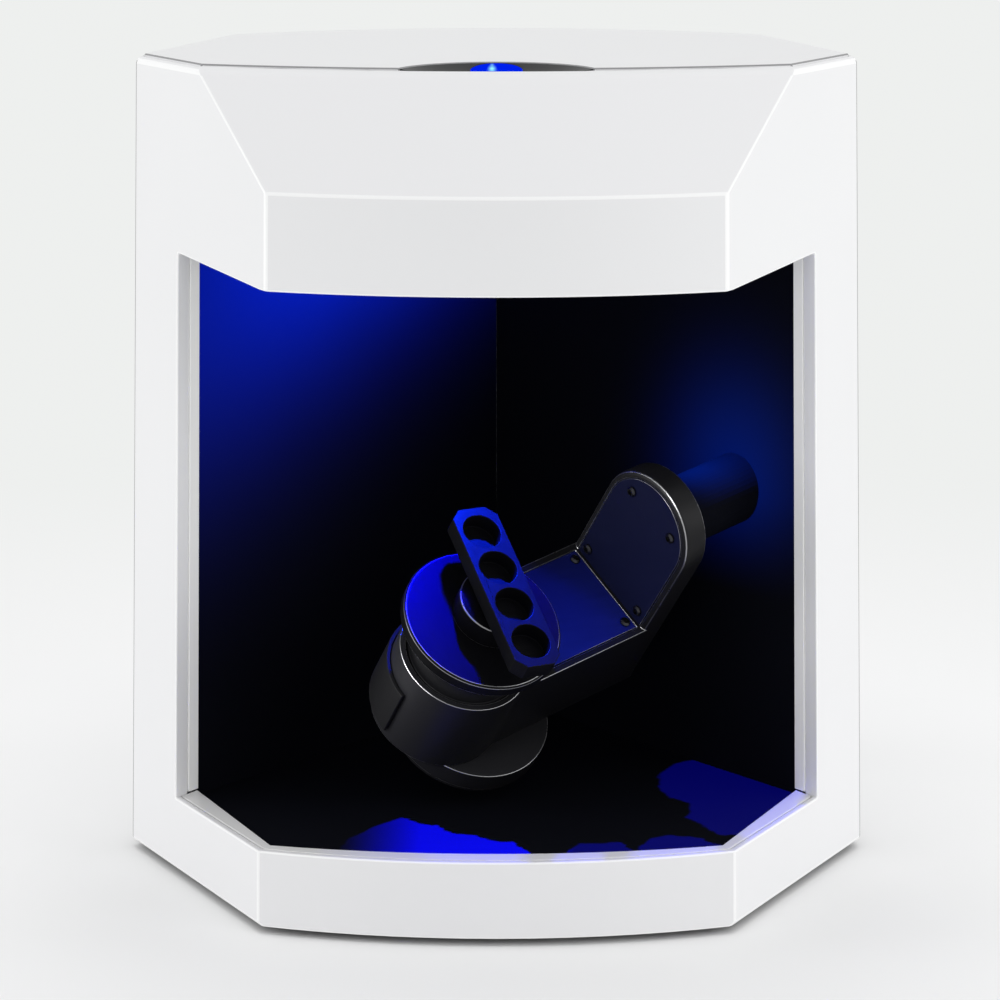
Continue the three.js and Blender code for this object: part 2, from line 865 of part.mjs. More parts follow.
function buildChamber() {
  const z0 = chamberFloorZ;
  const right = prism(wallOutline(), z0, ceilingZ);
  const left = prism(mirrored(wallOutline()), z0, ceilingZ);
  const shaftHole = lying(cylinder(ballRadius + wall, -overrun * 2, overrun));
  const drilled = cut(right, moved(shaftHole, driveFrame.matrix));
  add(scanner, 'left_wall', left, blackPanel);
  add(scanner, 'right_wall', drilled, blackPanel);
  add(scanner, 'chamber_floor', prism(chamberOutline(1), z0 - panel, z0), blackPanel);

  const ceilingTop = ceilingZ + panel;
  const x = windowWidth / 2;
  const y = windowDepth / 2;
  const hole = box(-x, x, windowY - y, windowY + y, ceilingZ - overrun, ceilingTop + overrun);
  const ceiling = prism(chamberOutline(1, taper(ceilingTop)), ceilingZ, ceilingTop);
  add(scanner, 'chamber_ceiling', cut(ceiling, hole), blackPanel);
  const lap = windowOverlap;
  const pane = box(-x - lap, x + lap, windowY - y - lap, windowY + y + lap, ceilingTop,
    ceilingTop + windowGlass);
  add(scanner, 'scan_window', pane, glass);
}

function buildTrims() {
  const z0 = sillZ - treadThickness;
  const outer = taperedLoft(treadOutline(gap), z0, sillZ);
  const inner = prism(insetOutline(chamberOutline(1), -gap), z0 - overrun, sillZ + overrun);
  const walls = box(-sideHalf, sideHalf, mouthY - gap, sideHalf, 0, casingTopZ);
  add(scanner, 'sill_tread', cut(outer, inner, walls), greyTrim);

  // Each bezel runs from the shell's return to the chamber wall and widens with the taper
  const topZ = ceilingZ - gap;
  const layerAt = (z) => {
    const size = taper(z);
    const start = revealPoint(flangeShare + gap / revealLength);
    const outerStart = revealPoint(flangeShare + gap / revealLength, wall);
    const back = mouthY - gap;
    const scaled = (point) => [point[0] * size, point[1] * size];
    const tip = scaled([mouthHalf, mouthY]);
    return { z, points: [
      scaled(start),
      scaled(outerStart),
      [mouthHalf + panel * wallOutX, back],
      [Math.min(tip[0], mouthHalf - gap), back],
    ] };
  };
  const right = loft([layerAt(sillZ + gap), layerAt(topZ)]);
  const flipped = new THREE.Matrix4().makeScale(-1, 1, 1);
  add(scanner, 'bezel_right', right, greyTrim);
  add(scanner, 'bezel_left', moved(right, flipped), greyTrim);
}

// Swing drive: an inclined pod on the right wall, bearings, shaft and a motor behind the wall
function behindWall(offset) {
  const block = box(-sideHalf, sideHalf, 0, sideHalf * 2, -sideHalf, sideHalf);
  const tilt = new THREE.Matrix4().makeRotationX(-swingDip);
  const shift = new THREE.Matrix4().makeTranslation(0, pivotStandoff + offset, 0);
  return moved(block, tilt.multiply(shift));
}

function buildSwingDrive() {
  const flangeEnd = slabThickness + gap + shaftFlangeThickness;
  const podStart = flangeEnd + 2 * gap;
  const bore = shaftRadius + gap;
  const seat = ballRadius + gap;
  const podLength = podStart + overrun * 2;
  const tube = lying(ring(podRadius, bore, -podLength, -podStart));
  const front = podStart + ballThickness + gap;
  const back = shaftEnd - ballThickness * 3;
  const frontSeat = lying(cylinder(seat, -front, -podStart + overrun / 4));
  const backSeat = lying(cylinder(seat, -podLength - overrun, -back));
  const pod = cut(tube, behindWall(-gap), frontSeat, backSeat);
  add(driveFrame, 'pivot_pod', pod, darkCasting);

  const race = (start) => lying(ring(ballRadius, bore, -start - ballThickness, -start));
  add(driveFrame, 'pivot_bearing_front', race(podStart), steel);
  add(driveFrame, 'pivot_bearing_rear', race(back + gap), steel);

  const start = slabThickness + gap;
  add(armFrame, 'pivot_shaft', lying(turned([
    [0, -shaftEnd],
    [shaftRadius, -shaftEnd],
    [shaftRadius, -flangeEnd],
    [shaftFlange, -flangeEnd],
    [shaftFlange, -start],
    [0, -start],
  ])), steel);

  const side = mountSize / 2;
  const mount = box(-side, side, 0, mountEnd, -side, side);
  const mountBore = lying(cylinder(ballRadius + wall, -mountEnd - overrun, overrun));
  const inFront = cut(mount, mountBore);
  add(driveFrame, 'motor_mount', inFront.intersect(behindWall(panel + gap)), darkCasting);

  const motorHalf = swingMotorSize / 2;
  const corner = motorHalf - swingMotorCorner;
  const outline = [
    [-motorHalf, -corner], [-corner, -motorHalf], [corner, -motorHalf], [motorHalf, -corner],
    [motorHalf, corner], [corner, motorHalf], [-corner, motorHalf], [-motorHalf, corner],
  ];
  const motorStart = mountEnd + gap;
  const body = prism(outline, -motorStart - swingMotorLength, -motorStart);
  add(driveFrame, 'swing_motor', lying(body), blackSteel);
}

// Round-topped outline on the arm's face: a straight foot below a half circle
function tombstone(halfWidth, bottom) {
  const points = [[-halfWidth, bottom], [halfWidth, bottom]];
  for (let i = 0; i <= roundSteps / 2; i++) {
    const angle = Math.PI * i / (roundSteps / 2);
    points.push([halfWidth * Math.cos(angle), halfWidth * Math.sin(angle)]);
  }
  return points;
}

// Stands a face outline up so that it runs from y0 back to y1
function facing(points, y0, y1) {
  return moved(prism(points, -y1, -y0), lieDown);
}

function slabSolid() {
  const bottom = -shelfDrop - armDepth;
  const layers = [
    { z: 0, points: tombstone(armHalf - slabChamfer, bottom) },
    { z: -slabChamfer / 3, points: tombstone(armHalf - slabChamfer / 4, bottom) },
    { z: -slabChamfer, points: tombstone(armHalf, bottom) },
    { z: -slabThickness, points: tombstone(armHalf, bottom) },
  ].reverse();
  return moved(loft(layers), lieDown);
}

const shelfZ = -shelfDrop;
const armBottomZ = shelfZ - armDepth;
const screwPlaces = [
  [-upperScrew[0], upperScrew[1]],
  upperScrew,
  [-lowerScrew[0], lowerScrew[1]],
  lowerScrew,
];
const shelfScrewPlaces = [
  [-shelfScrew[0], shelfScrew[1]],
  shelfScrew,
];

function shelfOutline(halfWidth, inset) {
  return [
    [-halfWidth, -reach],
    [halfWidth, -reach],
    [halfWidth, -inset],
    [-halfWidth, -inset],
  ];
}

// Rounds the inner corner where the straight side of the arm runs into the cup
function neckFillet(side) {
  const rise = Math.sqrt((cupRadius + neckRadius) ** 2 - (armHalf + neckRadius) ** 2);
  const centre = [armHalf + neckRadius, rise - reach];
  const sweep = Math.atan2(rise, armHalf + neckRadius);
  const outline = [[0, -reach], [0, rise - reach]];
  for (let i = 0; i <= cornerSteps * 2; i++) {
    const angle = Math.PI + sweep * i / (cornerSteps * 2);
    outline.push([centre[0] + neckRadius * Math.cos(angle), centre[1] + neckRadius * Math.sin(angle)]);
  }
  return prism(outline.map(([x, y]) => [side * x, y]), armBottomZ, shelfZ);
}

function buildArm() {
  const box1 = box(-armHalf, armHalf, -reach, slabThickness / 2, armBottomZ, shelfZ);
  const cup = cylinder(cupRadius, armBottomZ, shelfZ, 0, -reach);
  const cupBore = cylinder(cupRadius - cupWall, armBottomZ - overrun, shelfZ - bearingSink - cupFloor,
    0, -reach);
  const bearingBed = cylinder(bearingSeat + gap, shelfZ - bearingSink, shelfZ + overrun, 0, -reach);
  const spindleHole = cylinder(spindleRadius + 2 * gap, armBottomZ, shelfZ, 0, -reach);
  const platePocket = facing(tombstone(plateHalf + gap, shelfZ), -overrun, plateSink);
  const shelfPocket = prism(shelfOutline(plateHalf + gap, plateThickness + gap), shelfZ - plateSink,
    shelfZ + overrun);
  const roundEnd = cylinder(cupRadius - (armHalf - plateHalf), shelfZ - overrun, shelfZ + overrun * 2,
    0, -reach);
  const shelfCut = cut(shelfPocket, roundEnd);
  const tapped = screwPlaces.map(([x, z]) => faceHole(x, z));
  const shelfTapped = shelfScrewPlaces.map(([x, y]) => cylinder(screwShank + slack,
    shelfZ - screwLength - gap, shelfZ + overrun, x, y, fineSteps));
  const necks = [-1, 1].map((side) => neckFillet(side));
  const body = join(slabSolid(), box1, cup, ...necks);
  add(armFrame, 'arm_body', cut(body, cupBore, bearingBed, spindleHole, platePocket, shelfCut,
    ...tapped, ...shelfTapped), darkCasting);

  const plateFace = plateThickness - plateSink + gap;
  const plateFoot = shelfZ + gap;
  const plate = facing(tombstone(plateHalf, plateFoot), -plateFace, plateSink - gap);
  add(armFrame, 'arm_plate', cut(plate, ...tapped), darkPlate);
  const shelfTop = shelfZ + plateFace;
  const shelf = prism(shelfOutline(plateHalf, plateThickness + 2 * gap), shelfZ - plateSink + gap, shelfTop);
  const shelfEnd = cylinder(cupRadius - (armHalf - plateHalf) + gap, shelfZ - overrun,
    shelfZ + overrun, 0, -reach);
  add(armFrame, 'shelf_plate', cut(shelf, shelfEnd, ...shelfTapped), darkPlate);

  screwPlaces.forEach(([x, z], i) => {
    const place = new THREE.Group();
    place.position.set(x, -plateFace - gap, z);
    place.rotation.x = Math.PI / 2;
    armFrame.add(place);
    add(place, `arm_plate_screw_${i + 1}`, screw(), blackSteel);
  });
  shelfScrewPlaces.forEach(([x, y], i) => {
    const place = new THREE.Group();
    place.position.set(x, y, shelfTop + gap);
    armFrame.add(place);
    add(place, `shelf_screw_${i + 1}`, screw(), blackSteel);
  });
}

function faceHole(x, z) {
  const shank = cylinder(screwShank + slack, -screwLength - gap, overrun, 0, 0, fineSteps);
  return moved(lying(shank), new THREE.Matrix4().makeTranslation(x, 0, z));
}

// A button-head screw standing on z = 0 with a hexagonal socket in its head
function screw() {
  const head = turned([
    [0, -screwLength + gap],
    [screwShank, -screwLength + gap],
    [screwShank, 0],
    [screwHead, 0],
    [screwHead, screwHeadHeight / 2],
    [screwHead - screwHeadHeight / 2, screwHeadHeight],
    [0, screwHeadHeight],
  ], fineSteps);
  const socket = cylinder(hexSocket, screwHeadHeight - hexDepth, overrun, 0, 0, 6);
  return cut(head, socket);
}

function buildArmDrive() {
  const cup = new THREE.Group();
  cup.position.set(0, -reach, 0);
  armFrame.add(cup);
  const lidTop = armBottomZ + slabChamfer;
  const lid = cylinder(cupRadius - cupWall - gap, armBottomZ, lidTop);
  add(cup, 'cup_lid', lid, darkCasting);
  const motorBottom = lidTop + gap;
  const motor = cylinder(motorRadius, motorBottom, motorBottom + motorHeight);
  add(cup, 'turntable_motor', motor, blackSteel);

  const seatZ = shelfZ - bearingSink + gap;
  const flangeZ = seatZ + bearingFlange;
  const bearing = turned([
    [spindleRadius + gap, seatZ],
    [bearingSeat, seatZ],
    [bearingSeat, flangeZ],
    [bearingRadius, flangeZ],
    [bearingRadius, shelfZ + bearingRise],
    [spindleRadius + gap, shelfZ + bearingRise],
    [spindleRadius + gap, seatZ],
  ]);
  add(cup, 'turntable_bearing', bearing, darkCasting);

  const guardInner = cupRadius + gap;
  const guardOuter = guardInner + guardThickness;
  const guardOutline = [];
  for (let i = 0; i <= fineSteps; i++) {
    const angle = guardStart + guardSweep * i / fineSteps;
    guardOutline.push([guardOuter * Math.cos(angle), guardOuter * Math.sin(angle)]);
  }
  for (let i = fineSteps; i >= 0; i--) {
    const angle = guardStart + guardSweep * i / fineSteps;
    guardOutline.push([guardInner * Math.cos(angle), guardInner * Math.sin(angle)]);
  }
  const guardFoot = armBottomZ + guardLift;
  const guard = prism(guardOutline, guardFoot, guardFoot + guardHeight);
  const armClear = box(-armHalf - gap, armHalf + gap, 0, reach, armBottomZ - overrun, 0);
  add(cup, 'rear_guard', cut(guard, armClear), darkPlastic);

  // The round drive housing is wider than the cup and stands out beside it
  const [flangeX, flangeY] = flangeShift;
  const flangeTop = armBottomZ - gap;
  const flangeFoot = flangeTop - flangeThickness;
  const flat = box(-overrun * 3, flangeX - flangeFlat, -overrun * 2, overrun * 3, -overrun * 4, 0);
  const housing = cylinder(flangeRadius, flangeFoot, flangeTop, flangeX, flangeY, roundSteps * 2);
  add(cup, 'drive_housing', cut(housing, flat), darkCasting);
  const capTop = flangeFoot - gap;
  const cap = cylinder(flangeRadius - capStep, capTop - capThickness, capTop, flangeX, flangeY);
  add(cup, 'drive_cap', cut(cap, flat), darkPlastic);
}

// Turntable disc with its hub and spindle in one turned piece, and the holder that lifts off it
const discTopZ = shelfZ + discRise;

function buildTurntable() {
  const turntable = new THREE.Group();
  turntable.position.set(0, -reach, 0);
  armFrame.add(turntable);
  const under = discTopZ - discThickness;
  const hubZ = shelfZ + bearingRise + 2 * gap;
  const tip = discTopZ - discThickness - spindleLength;
  add(turntable, 'turntable_disc', turned([
    [0, tip],
    [spindleRadius, tip],
    [spindleRadius, hubZ],
    [hubRadius, hubZ],
    [hubRadius, under],
    [discRadius - discEdge, under],
    [discRadius, under + discEdge],
    [discRadius, discTopZ - discEdge],
    [discRadius - discEdge, discTopZ],
    [0, discTopZ],
  ], roundSteps * 2), darkCasting);

  const holder = new THREE.Group();
  holder.position.set(holderShift[0], holderShift[1] - reach, discTopZ + gap);
  holder.rotation.z = holderTurn;
  armFrame.add(holder);
  add(holder, 'holder_puck', cylinder(puckRadius, 0, puckHeight), darkCasting);
  const x = barLength / 2;
  const y = barWidth / 2;
  const outline = [
    [-x, -y + barChamfer], [-x + barChamfer, -y], [x - barChamfer, -y], [x, -y + barChamfer],
    [x, y - barChamfer], [x - barChamfer, y], [-x + barChamfer, y], [-x, y - barChamfer],
  ];
  const z0 = puckHeight + gap;
  const topZ = z0 + barThickness;
  const small = insetOutline(outline, barHeel);
  const bar = loft([
    { z: z0, points: small },
    { z: z0 + barHeel, points: outline },
    { z: topZ, points: outline },
  ]);
  const pockets = [];
  for (let i = 0; i < pocketCount; i++) {
    const along = pocketPitch * (i - (pocketCount - 1) / 2);
    pockets.push(cylinder(pocketRadius, topZ - pocketDepth, topZ + overrun, along, 0));
  }
  add(holder, 'carrier_bar', cut(bar, ...pockets), darkPlastic);
}

// Scan head: a projector between two cameras on a bracket that leans towards the stage
function buildScanHead() {
  const head = new THREE.Group();
  head.position.set(0, mouthY + headBehindMouth, headZ);
  head.rotation.x = headTilt;
  scanner.add(head);
  head.updateMatrix();
  const halfWidth = windowWidth / 2 + windowOverlap;
  const halfDepth = headPlateDepth / 2;
  const plateTop = headPlateZ + gap + headPlateThickness;
  const plate = box(-halfWidth, halfWidth, -halfDepth, halfDepth, headPlateZ + gap, plateTop);
  const legs = [-halfWidth, halfWidth - headLeg].map((x) => (
    box(x, x + headLeg, -halfDepth, halfDepth, -overrun * 2, plateTop)));
  const ground = ceilingZ + panel + windowGlass + gap;
  const below = box(-sideHalf, sideHalf, -sideHalf, sideHalf, -overrun, ground);
  const cutter = moved(below, head.matrix.clone().invert());
  add(head, 'head_bracket', cut(join(plate, ...legs), cutter), darkCasting);

  const [width, depth, height] = projectorSize;
  const bottom = headPlateZ - height;
  add(head, 'projector_body', box(-width / 2, width / 2, -depth / 2, depth / 2, bottom, headPlateZ),
    darkPlastic);
  add(head, 'projector_lens', lens(projectorLensRadius, bottom - gap), blackGloss);

  // Each camera sits midway between the projector and the bracket's leg
  const [camWidth, camDepth, camHeight] = cameraSize;
  const cameraX = (width / 2 + halfWidth - headLeg) / 2;
  for (const [side, name] of [[-1, 'left'], [1, 'right']]) {
    const camera = new THREE.Group();
    camera.position.set(side * cameraX, 0, 0);
    camera.rotation.y = side * cameraTurn;
    head.add(camera);
    const camTop = headPlateZ - camWidth * Math.sin(cameraTurn) / 2;
    const camBottom = camTop - camHeight;
    add(camera, `camera_body_${name}`, box(-camWidth / 2, camWidth / 2, -camDepth / 2, camDepth / 2,
      camBottom, camTop), darkPlastic);
    add(camera, `camera_lens_${name}`, lens(cameraLensRadius, camBottom - gap), blackGloss);
  }
}

function lens(radius, top) {
  const bottom = top - lensLength;
  return turned([
    [0, bottom + lensHollow],
    [radius - 2 * lensRim, bottom + lensHollow],
    [radius - lensRim, bottom],
    [radius, bottom],
    [radius, top],
    [0, top],
  ], fineSteps);
}

// Rear panel with the power inlet, the rocker switch and the data socket
function buildRearPanel() {
  const front = -rearPanelDepth;
  const back = front - rearPanelThickness;
  const x = rearPanelWidth / 2;
  const z = rearPanelHeight / 2;
  const holeFor = ([width, , height], place) => box(place - width / 2 - gap, place + width / 2 + gap,
    -overrun, overrun, -height / 2 - gap, height / 2 + gap);
  const plate = box(-x, x, back, front, -z, z);
  add(rearPanelFrame, 'rear_panel', cut(plate, holeFor(inletSize, inletX), holeFor(switchSize, switchX),
    holeFor(socketSize, socketX)), darkPlastic);

  const face = front + gap + inletFlangeThickness;
  add(rearPanelFrame, 'power_inlet', inletSolid(front, face), darkPlastic);
  buildRocker(front);
  const [width, depth, height] = socketSize;
  const socket = box(socketX - width / 2, socketX + width / 2, front - depth, face, -height / 2, height / 2);
  const well = box(socketX - width / 2 + socketWall, socketX + width / 2 - socketWall,
    front - depth / 2, face + overrun, -height / 2 + socketWall, height / 2 - socketWall);
  add(rearPanelFrame, 'data_socket', cut(socket, well), steel);
}

function inletSolid(front, face) {
  const [width, depth, height] = inletSize;
  const x = width / 2;
  const z = height / 2;
  const rim = inletFlange;
  const body = box(inletX - x, inletX + x, front - depth, face, -z, z);
  const flange = box(inletX - x - rim, inletX + x + rim, front + gap, face, -z - rim, z + rim);
  const well = box(inletX - x + inletWall, inletX + x - inletWall, face - inletRecess, face + overrun,
    -z + inletWall, z - inletWall);
  const [pinWidth, pinLength, pinHeight] = inletPin;
  const pins = [-1, 0, 1].map((side) => {
    const centre = inletX + side * inletPinSpread;
    const bottom = face - inletRecess - gap;
    return box(centre - pinWidth / 2, centre + pinWidth / 2, bottom, bottom + pinLength,
      -pinHeight / 2, pinHeight / 2);
  });
  return join(cut(join(body, flange), well), ...pins);
}

function buildRocker(front) {
  const [width, depth, height] = switchSize;
  const x = width / 2;
  const z = height / 2;
  const face = front + gap + inletFlangeThickness;
  const body = box(switchX - x, switchX + x, front - depth, face, -z, z);
  const flange = box(switchX - x - switchRim, switchX + x + switchRim, front + gap, face,
    -z - switchRim, z + switchRim);
  const well = box(switchX - x + switchRim, switchX + x - switchRim, front - depth + switchRim,
    face + overrun, -z + switchRim, z - switchRim);
  add(rearPanelFrame, 'switch_frame', cut(join(body, flange), well), darkPlastic);

  const rocker = new THREE.Group();
  rocker.position.set(switchX, front - rockerSink, 0);
  rocker.rotation.x = -rockerThrow;
  rearPanelFrame.add(rocker);
  const lift = rockerSink + rockerBulge;
  const halfLength = z - switchRim - lift * Math.sin(rockerThrow) - gap;
  const halfWidth = x - switchRim - gap;
  const tip = lift - halfLength * Math.tan(rockerThrow);
  const outline = [
    [0, -rockerBulge],
    [halfLength, tip - rockerBulge],
    [halfLength, tip],
    [0, lift - halfLength * Math.tan(rockerThrow) / 2],
    [-halfLength, tip],
    [-halfLength, tip - rockerBulge],
  ];
  const profile = outline.map(([along, out]) => [out, along]);
  const blank = prism(profile.reverse(), -halfWidth, halfWidth);
  const swap = new THREE.Matrix4().makeBasis(
    new THREE.Vector3(0, 1, 0), new THREE.Vector3(0, 0, 1), new THREE.Vector3(1, 0, 0));
  add(rocker, 'rocker_switch', moved(blank, swap), blackGloss);
}

function buildFan() {
  const side = fanSize / 2;
  const front = -rearPanelDepth;
  const block = box(-side, side, front - fanDepth, front, -side, side);
  const bore = lying(cylinder(fanBore, -overrun, overrun));
  const spokeDepth = fanBladeThickness * 2;
  const spokes = join(
    box(-side + fanBladeThickness, side - fanBladeThickness, front - spokeDepth, front,
      -fanBladeThickness, fanBladeThickness),
    lying(cylinder(fanHub, -front, -front + spokeDepth)),
  );
  add(fanFrame, 'fan_frame', join(cut(block, bore), spokes), darkPlastic);

  const rotorFront = front - spokeDepth - gap;
  const rotorBack = front - fanDepth + gap;
  const hub = lying(cylinder(fanHub, -rotorFront, -rotorBack));
  const bladeSpan = (rotorFront - rotorBack) / 2 - fanBladeThickness;
  const blades = [];
  for (let i = 0; i < fanBlades; i++) {
    const blade = new THREE.BoxGeometry(fanBore - fanHub, 2 * bladeSpan, fanBladeThickness);
    blade.rotateX(fanBladeTurn);
    blade.translate((fanBore + fanHub) / 2 - 2 * gap - fanBladeThickness, 0, 0);
    blade.rotateY(2 * Math.PI * i / fanBlades);
    blade.translate(0, (rotorFront + rotorBack) / 2, 0);
    blades.push(solid(blade));
  }
  const disc = lying(cylinder(fanBore - gap * 3, -rotorFront, -rotorBack));
  const bladed = join(hub, ...blades).intersect(disc);
  add(fanFrame, 'fan_rotor', bladed, darkPlastic);
}

// Boards and supply on the backs of the chamber walls
function wallFrame(side) {
  const group = new THREE.Group();
  group.position.set(side * mouthHalf, mouthY, 0);
  group.rotation.z = side > 0 ? Math.PI - wallAngle : wallAngle;
  scanner.add(group);
  return group;
}

function buildElectronics() {
  const left = wallFrame(-1);
  const offset = panel + boardOffset;
  const board = box(boardStart, boardStart + boardLength, offset, offset + boardThickness,
    boardZ, boardZ + boardHeight);
  const posts = [];
  for (const x of [boardStart + boardOffset, boardStart + boardLength - boardOffset]) {
    for (const z of [boardZ + boardOffset, boardZ + boardHeight - boardOffset]) {
      const post = lying(cylinder(postHalf, -offset - boardThickness / 2, -panel - gap, 0, 0, fineSteps));
      posts.push(moved(post, new THREE.Matrix4().makeTranslation(x, 0, z)));
    }
  }
  add(left, 'main_board', join(board, ...posts), circuit);
  const right = wallFrame(1);
  const [length, depth, height] = supplySize;
  const start = panel + gap;
  add(right, 'power_supply', box(supplyStart, supplyStart + length, -start - depth, -start,
    supplyZ, supplyZ + height), steel);
}

buildFrontShell();
buildRearShell();
buildTopCover();
buildDish();
buildBase();
buildChamber();
buildTrims();
buildSwingDrive();
buildArm();
buildArmDrive();
buildTurntable();
buildScanHead();
buildRearPanel();
buildFan();
buildElectronics();

export default scanner;
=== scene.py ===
"""Desktop 3D scanner on a pale floor: white hooded casing, black scan chamber lit blue inside,
a swinging arm with a lit turntable, and the fittings at the back."""

import json
import math

import bmesh
import bpy
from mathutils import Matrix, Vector

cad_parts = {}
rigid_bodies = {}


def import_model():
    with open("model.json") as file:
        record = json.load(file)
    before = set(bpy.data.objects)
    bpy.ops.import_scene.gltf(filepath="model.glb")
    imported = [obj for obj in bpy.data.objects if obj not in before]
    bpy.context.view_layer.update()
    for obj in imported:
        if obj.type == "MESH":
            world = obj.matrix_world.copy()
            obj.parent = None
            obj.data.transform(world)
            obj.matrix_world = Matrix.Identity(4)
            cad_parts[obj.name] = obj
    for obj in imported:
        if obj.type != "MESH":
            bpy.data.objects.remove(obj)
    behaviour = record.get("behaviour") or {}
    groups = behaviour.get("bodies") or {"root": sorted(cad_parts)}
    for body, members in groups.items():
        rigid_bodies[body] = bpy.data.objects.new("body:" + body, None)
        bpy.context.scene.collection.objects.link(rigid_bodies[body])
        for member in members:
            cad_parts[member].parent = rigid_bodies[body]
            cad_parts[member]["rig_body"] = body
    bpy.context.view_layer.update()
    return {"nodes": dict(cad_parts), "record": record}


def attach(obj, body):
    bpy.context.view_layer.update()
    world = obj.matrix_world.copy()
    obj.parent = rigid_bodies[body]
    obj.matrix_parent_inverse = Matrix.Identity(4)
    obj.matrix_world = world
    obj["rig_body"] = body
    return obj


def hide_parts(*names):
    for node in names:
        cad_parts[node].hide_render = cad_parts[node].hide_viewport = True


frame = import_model()

MM = 0.001

# Camera, from the photograph: a long lens a little above the object's top
CAMERA_PLACE = (0.0, -1288.8 * MM, 436.5 * MM)
CAMERA_TILT = math.radians(78.8)
CAMERA_SENSOR = 36.0
CAMERA_LENS = 117.0
CAMERA_SHIFT = (0.0035, -0.09)
CAMERA_NEAR = 0.05
CAMERA_FAR = 30.0


def add_object(name, data):
    thing = bpy.data.objects.new(name, data)
    bpy.context.scene.collection.objects.link(thing)
    return thing


def add_camera():
    data = bpy.data.cameras.new("camera")
    data.sensor_width = CAMERA_SENSOR
    data.lens = CAMERA_LENS
    data.shift_x, data.shift_y = CAMERA_SHIFT
    data.clip_start = CAMERA_NEAR
    data.clip_end = CAMERA_FAR
    camera = add_object("camera", data)
    camera.location = CAMERA_PLACE
    camera.rotation_euler = (CAMERA_TILT, 0.0, 0.0)
    bpy.context.scene.camera = camera


# Small helpers for node trees


def new_group(name, inputs, outputs):
    group = bpy.data.node_groups.new(name, "ShaderNodeTree")
    for label, kind, value in inputs:
        socket = group.interface.new_socket(label, in_out="INPUT", socket_type=kind)
        socket.default_value = value
    for label, kind in outputs:
        group.interface.new_socket(label, in_out="OUTPUT", socket_type=kind)
    entry = group.nodes.new("NodeGroupInput")
    leave = group.nodes.new("NodeGroupOutput")
    return group, entry, leave


def noise(tree, place, fineness, detail, roughness=0.5):
    node = tree.nodes.new("ShaderNodeTexNoise")
    node.inputs["Scale"].default_value = fineness
    node.inputs["Detail"].default_value = detail
    node.inputs["Roughness"].default_value = roughness
    tree.links.new(place, node.inputs["Vector"])
    return node.outputs["Fac"]


def spread(tree, source, low, high, to_low=0.0, to_high=1.0):
    node = tree.nodes.new("ShaderNodeMapRange")
    node.inputs["From Min"].default_value = low
    node.inputs["From Max"].default_value = high
    node.inputs["To Min"].default_value = to_low
    node.inputs["To Max"].default_value = to_high
    tree.links.new(source, node.inputs["Value"])
    return node.outputs["Result"]


def arithmetic(tree, operation, first, second):
    """Arithmetic on two values, each a socket or a number."""
    node = tree.nodes.new("ShaderNodeMath")
    node.operation = operation
    for socket, value in zip(node.inputs, (first, second)):
        if isinstance(value, (int, float)):
            socket.default_value = value
        else:
            tree.links.new(value, socket)
    return node.outputs["Value"]


def total(tree, first, second):
    return arithmetic(tree, "ADD", first, second)


def product(tree, first, second):
    return arithmetic(tree, "MULTIPLY", first, second)


def vector_math(tree, operation, first, second=None):
    """Vector arithmetic on a socket and, where there is a second value, a socket or a fixed vector."""
    node = tree.nodes.new("ShaderNodeVectorMath")
    node.operation = operation
    tree.links.new(first, node.inputs[0])
    if isinstance(second, bpy.types.NodeSocket):
        tree.links.new(second, node.inputs[1])
    elif second is not None:
        node.inputs[1].default_value = second
    return node


def blend_colours(tree, factor, first, second):
    """Blends two colours, each a socket or three numbers."""
    node = tree.nodes.new("ShaderNodeMix")
    node.data_type = "RGBA"
    for label, value in (("A", first), ("B", second)):
        socket = [s for s in node.inputs if s.name == label and s.type == "RGBA"][0]
        if isinstance(value, tuple):
            socket.default_value = (*value, 1.0)
        else:
            tree.links.new(value, socket)
    factor_socket = [s for s in node.inputs if s.name == "Factor" and s.type == "VALUE"][0]
    tree.links.new(factor, factor_socket)
    return [s for s in node.outputs if s.type == "RGBA"][0]


def follow_curve(tree, source, points):
    """Reads a height off a curve through points of (place, height), both given as real values."""
    low, high = points[0][0], points[-1][0]
    heights = [height for place, height in points]
    floor, ceiling = min(heights), max(heights)
    node = tree.nodes.new("ShaderNodeFloatCurve")
    curve = node.mapping.curves[0]
    while len(curve.points) > 2:
        curve.points.remove(curve.points[-1])
    for index, (place, height) in enumerate(points):
        spot = ((place - low) / (high - low), (height - floor) / (ceiling - floor))
        if index < 2:
            curve.points[index].location = spot
        else:
            curve.points.new(*spot)
    for point in curve.points:
        point.handle_type = "VECTOR"
    node.mapping.update()
    tree.links.new(spread(tree, source, low, high), node.inputs["Value"])
    return spread(tree, node.outputs["Value"], 0.0, 1.0, floor, ceiling)


def object_place(tree):
    return tree.nodes.new("ShaderNodeTexCoord").outputs["Object"]


def shift_tone(tree, tone, lift, amount):
    """Darkens and lightens a tone by as much as the amount, where lift goes from -1 to 1."""
    hue = tree.nodes.new("ShaderNodeHueSaturation")
    tree.links.new(tone, hue.inputs["Color"])
    tree.links.new(total(tree, product(tree, lift, amount), 1.0), hue.inputs["Value"])
    return hue.outputs["Color"]


# Node groups that the finishes share

# How fine each texture is, in features a metre
GRAIN_FINENESS = 2600.0
DRIFT_FINENESS = 9.0
SCRATCH_FINENESS = 60.0
SPECK_FINENESS = 420.0
DUST_PATCH_FINENESS = 30.0

# The part of a noise's values that is spread out. A dust patch begins and is full at its two ends
NOISE_BAND = (0.3, 0.7)
SCRATCH_BAND = (0.25, 0.75)
DUST_PATCH_BAND = (0.52, 0.7)

# A speck's rim and its full middle, as a share of the space between specks
SPECK_RIM = 0.12
SPECK_MIDDLE = 0.06

# The share of the dust on faces that don't look up, and how far up a face looks that has all of it
DUST_ON_UPRIGHT_FACES = 0.15
LEVEL_FACE = 0.9


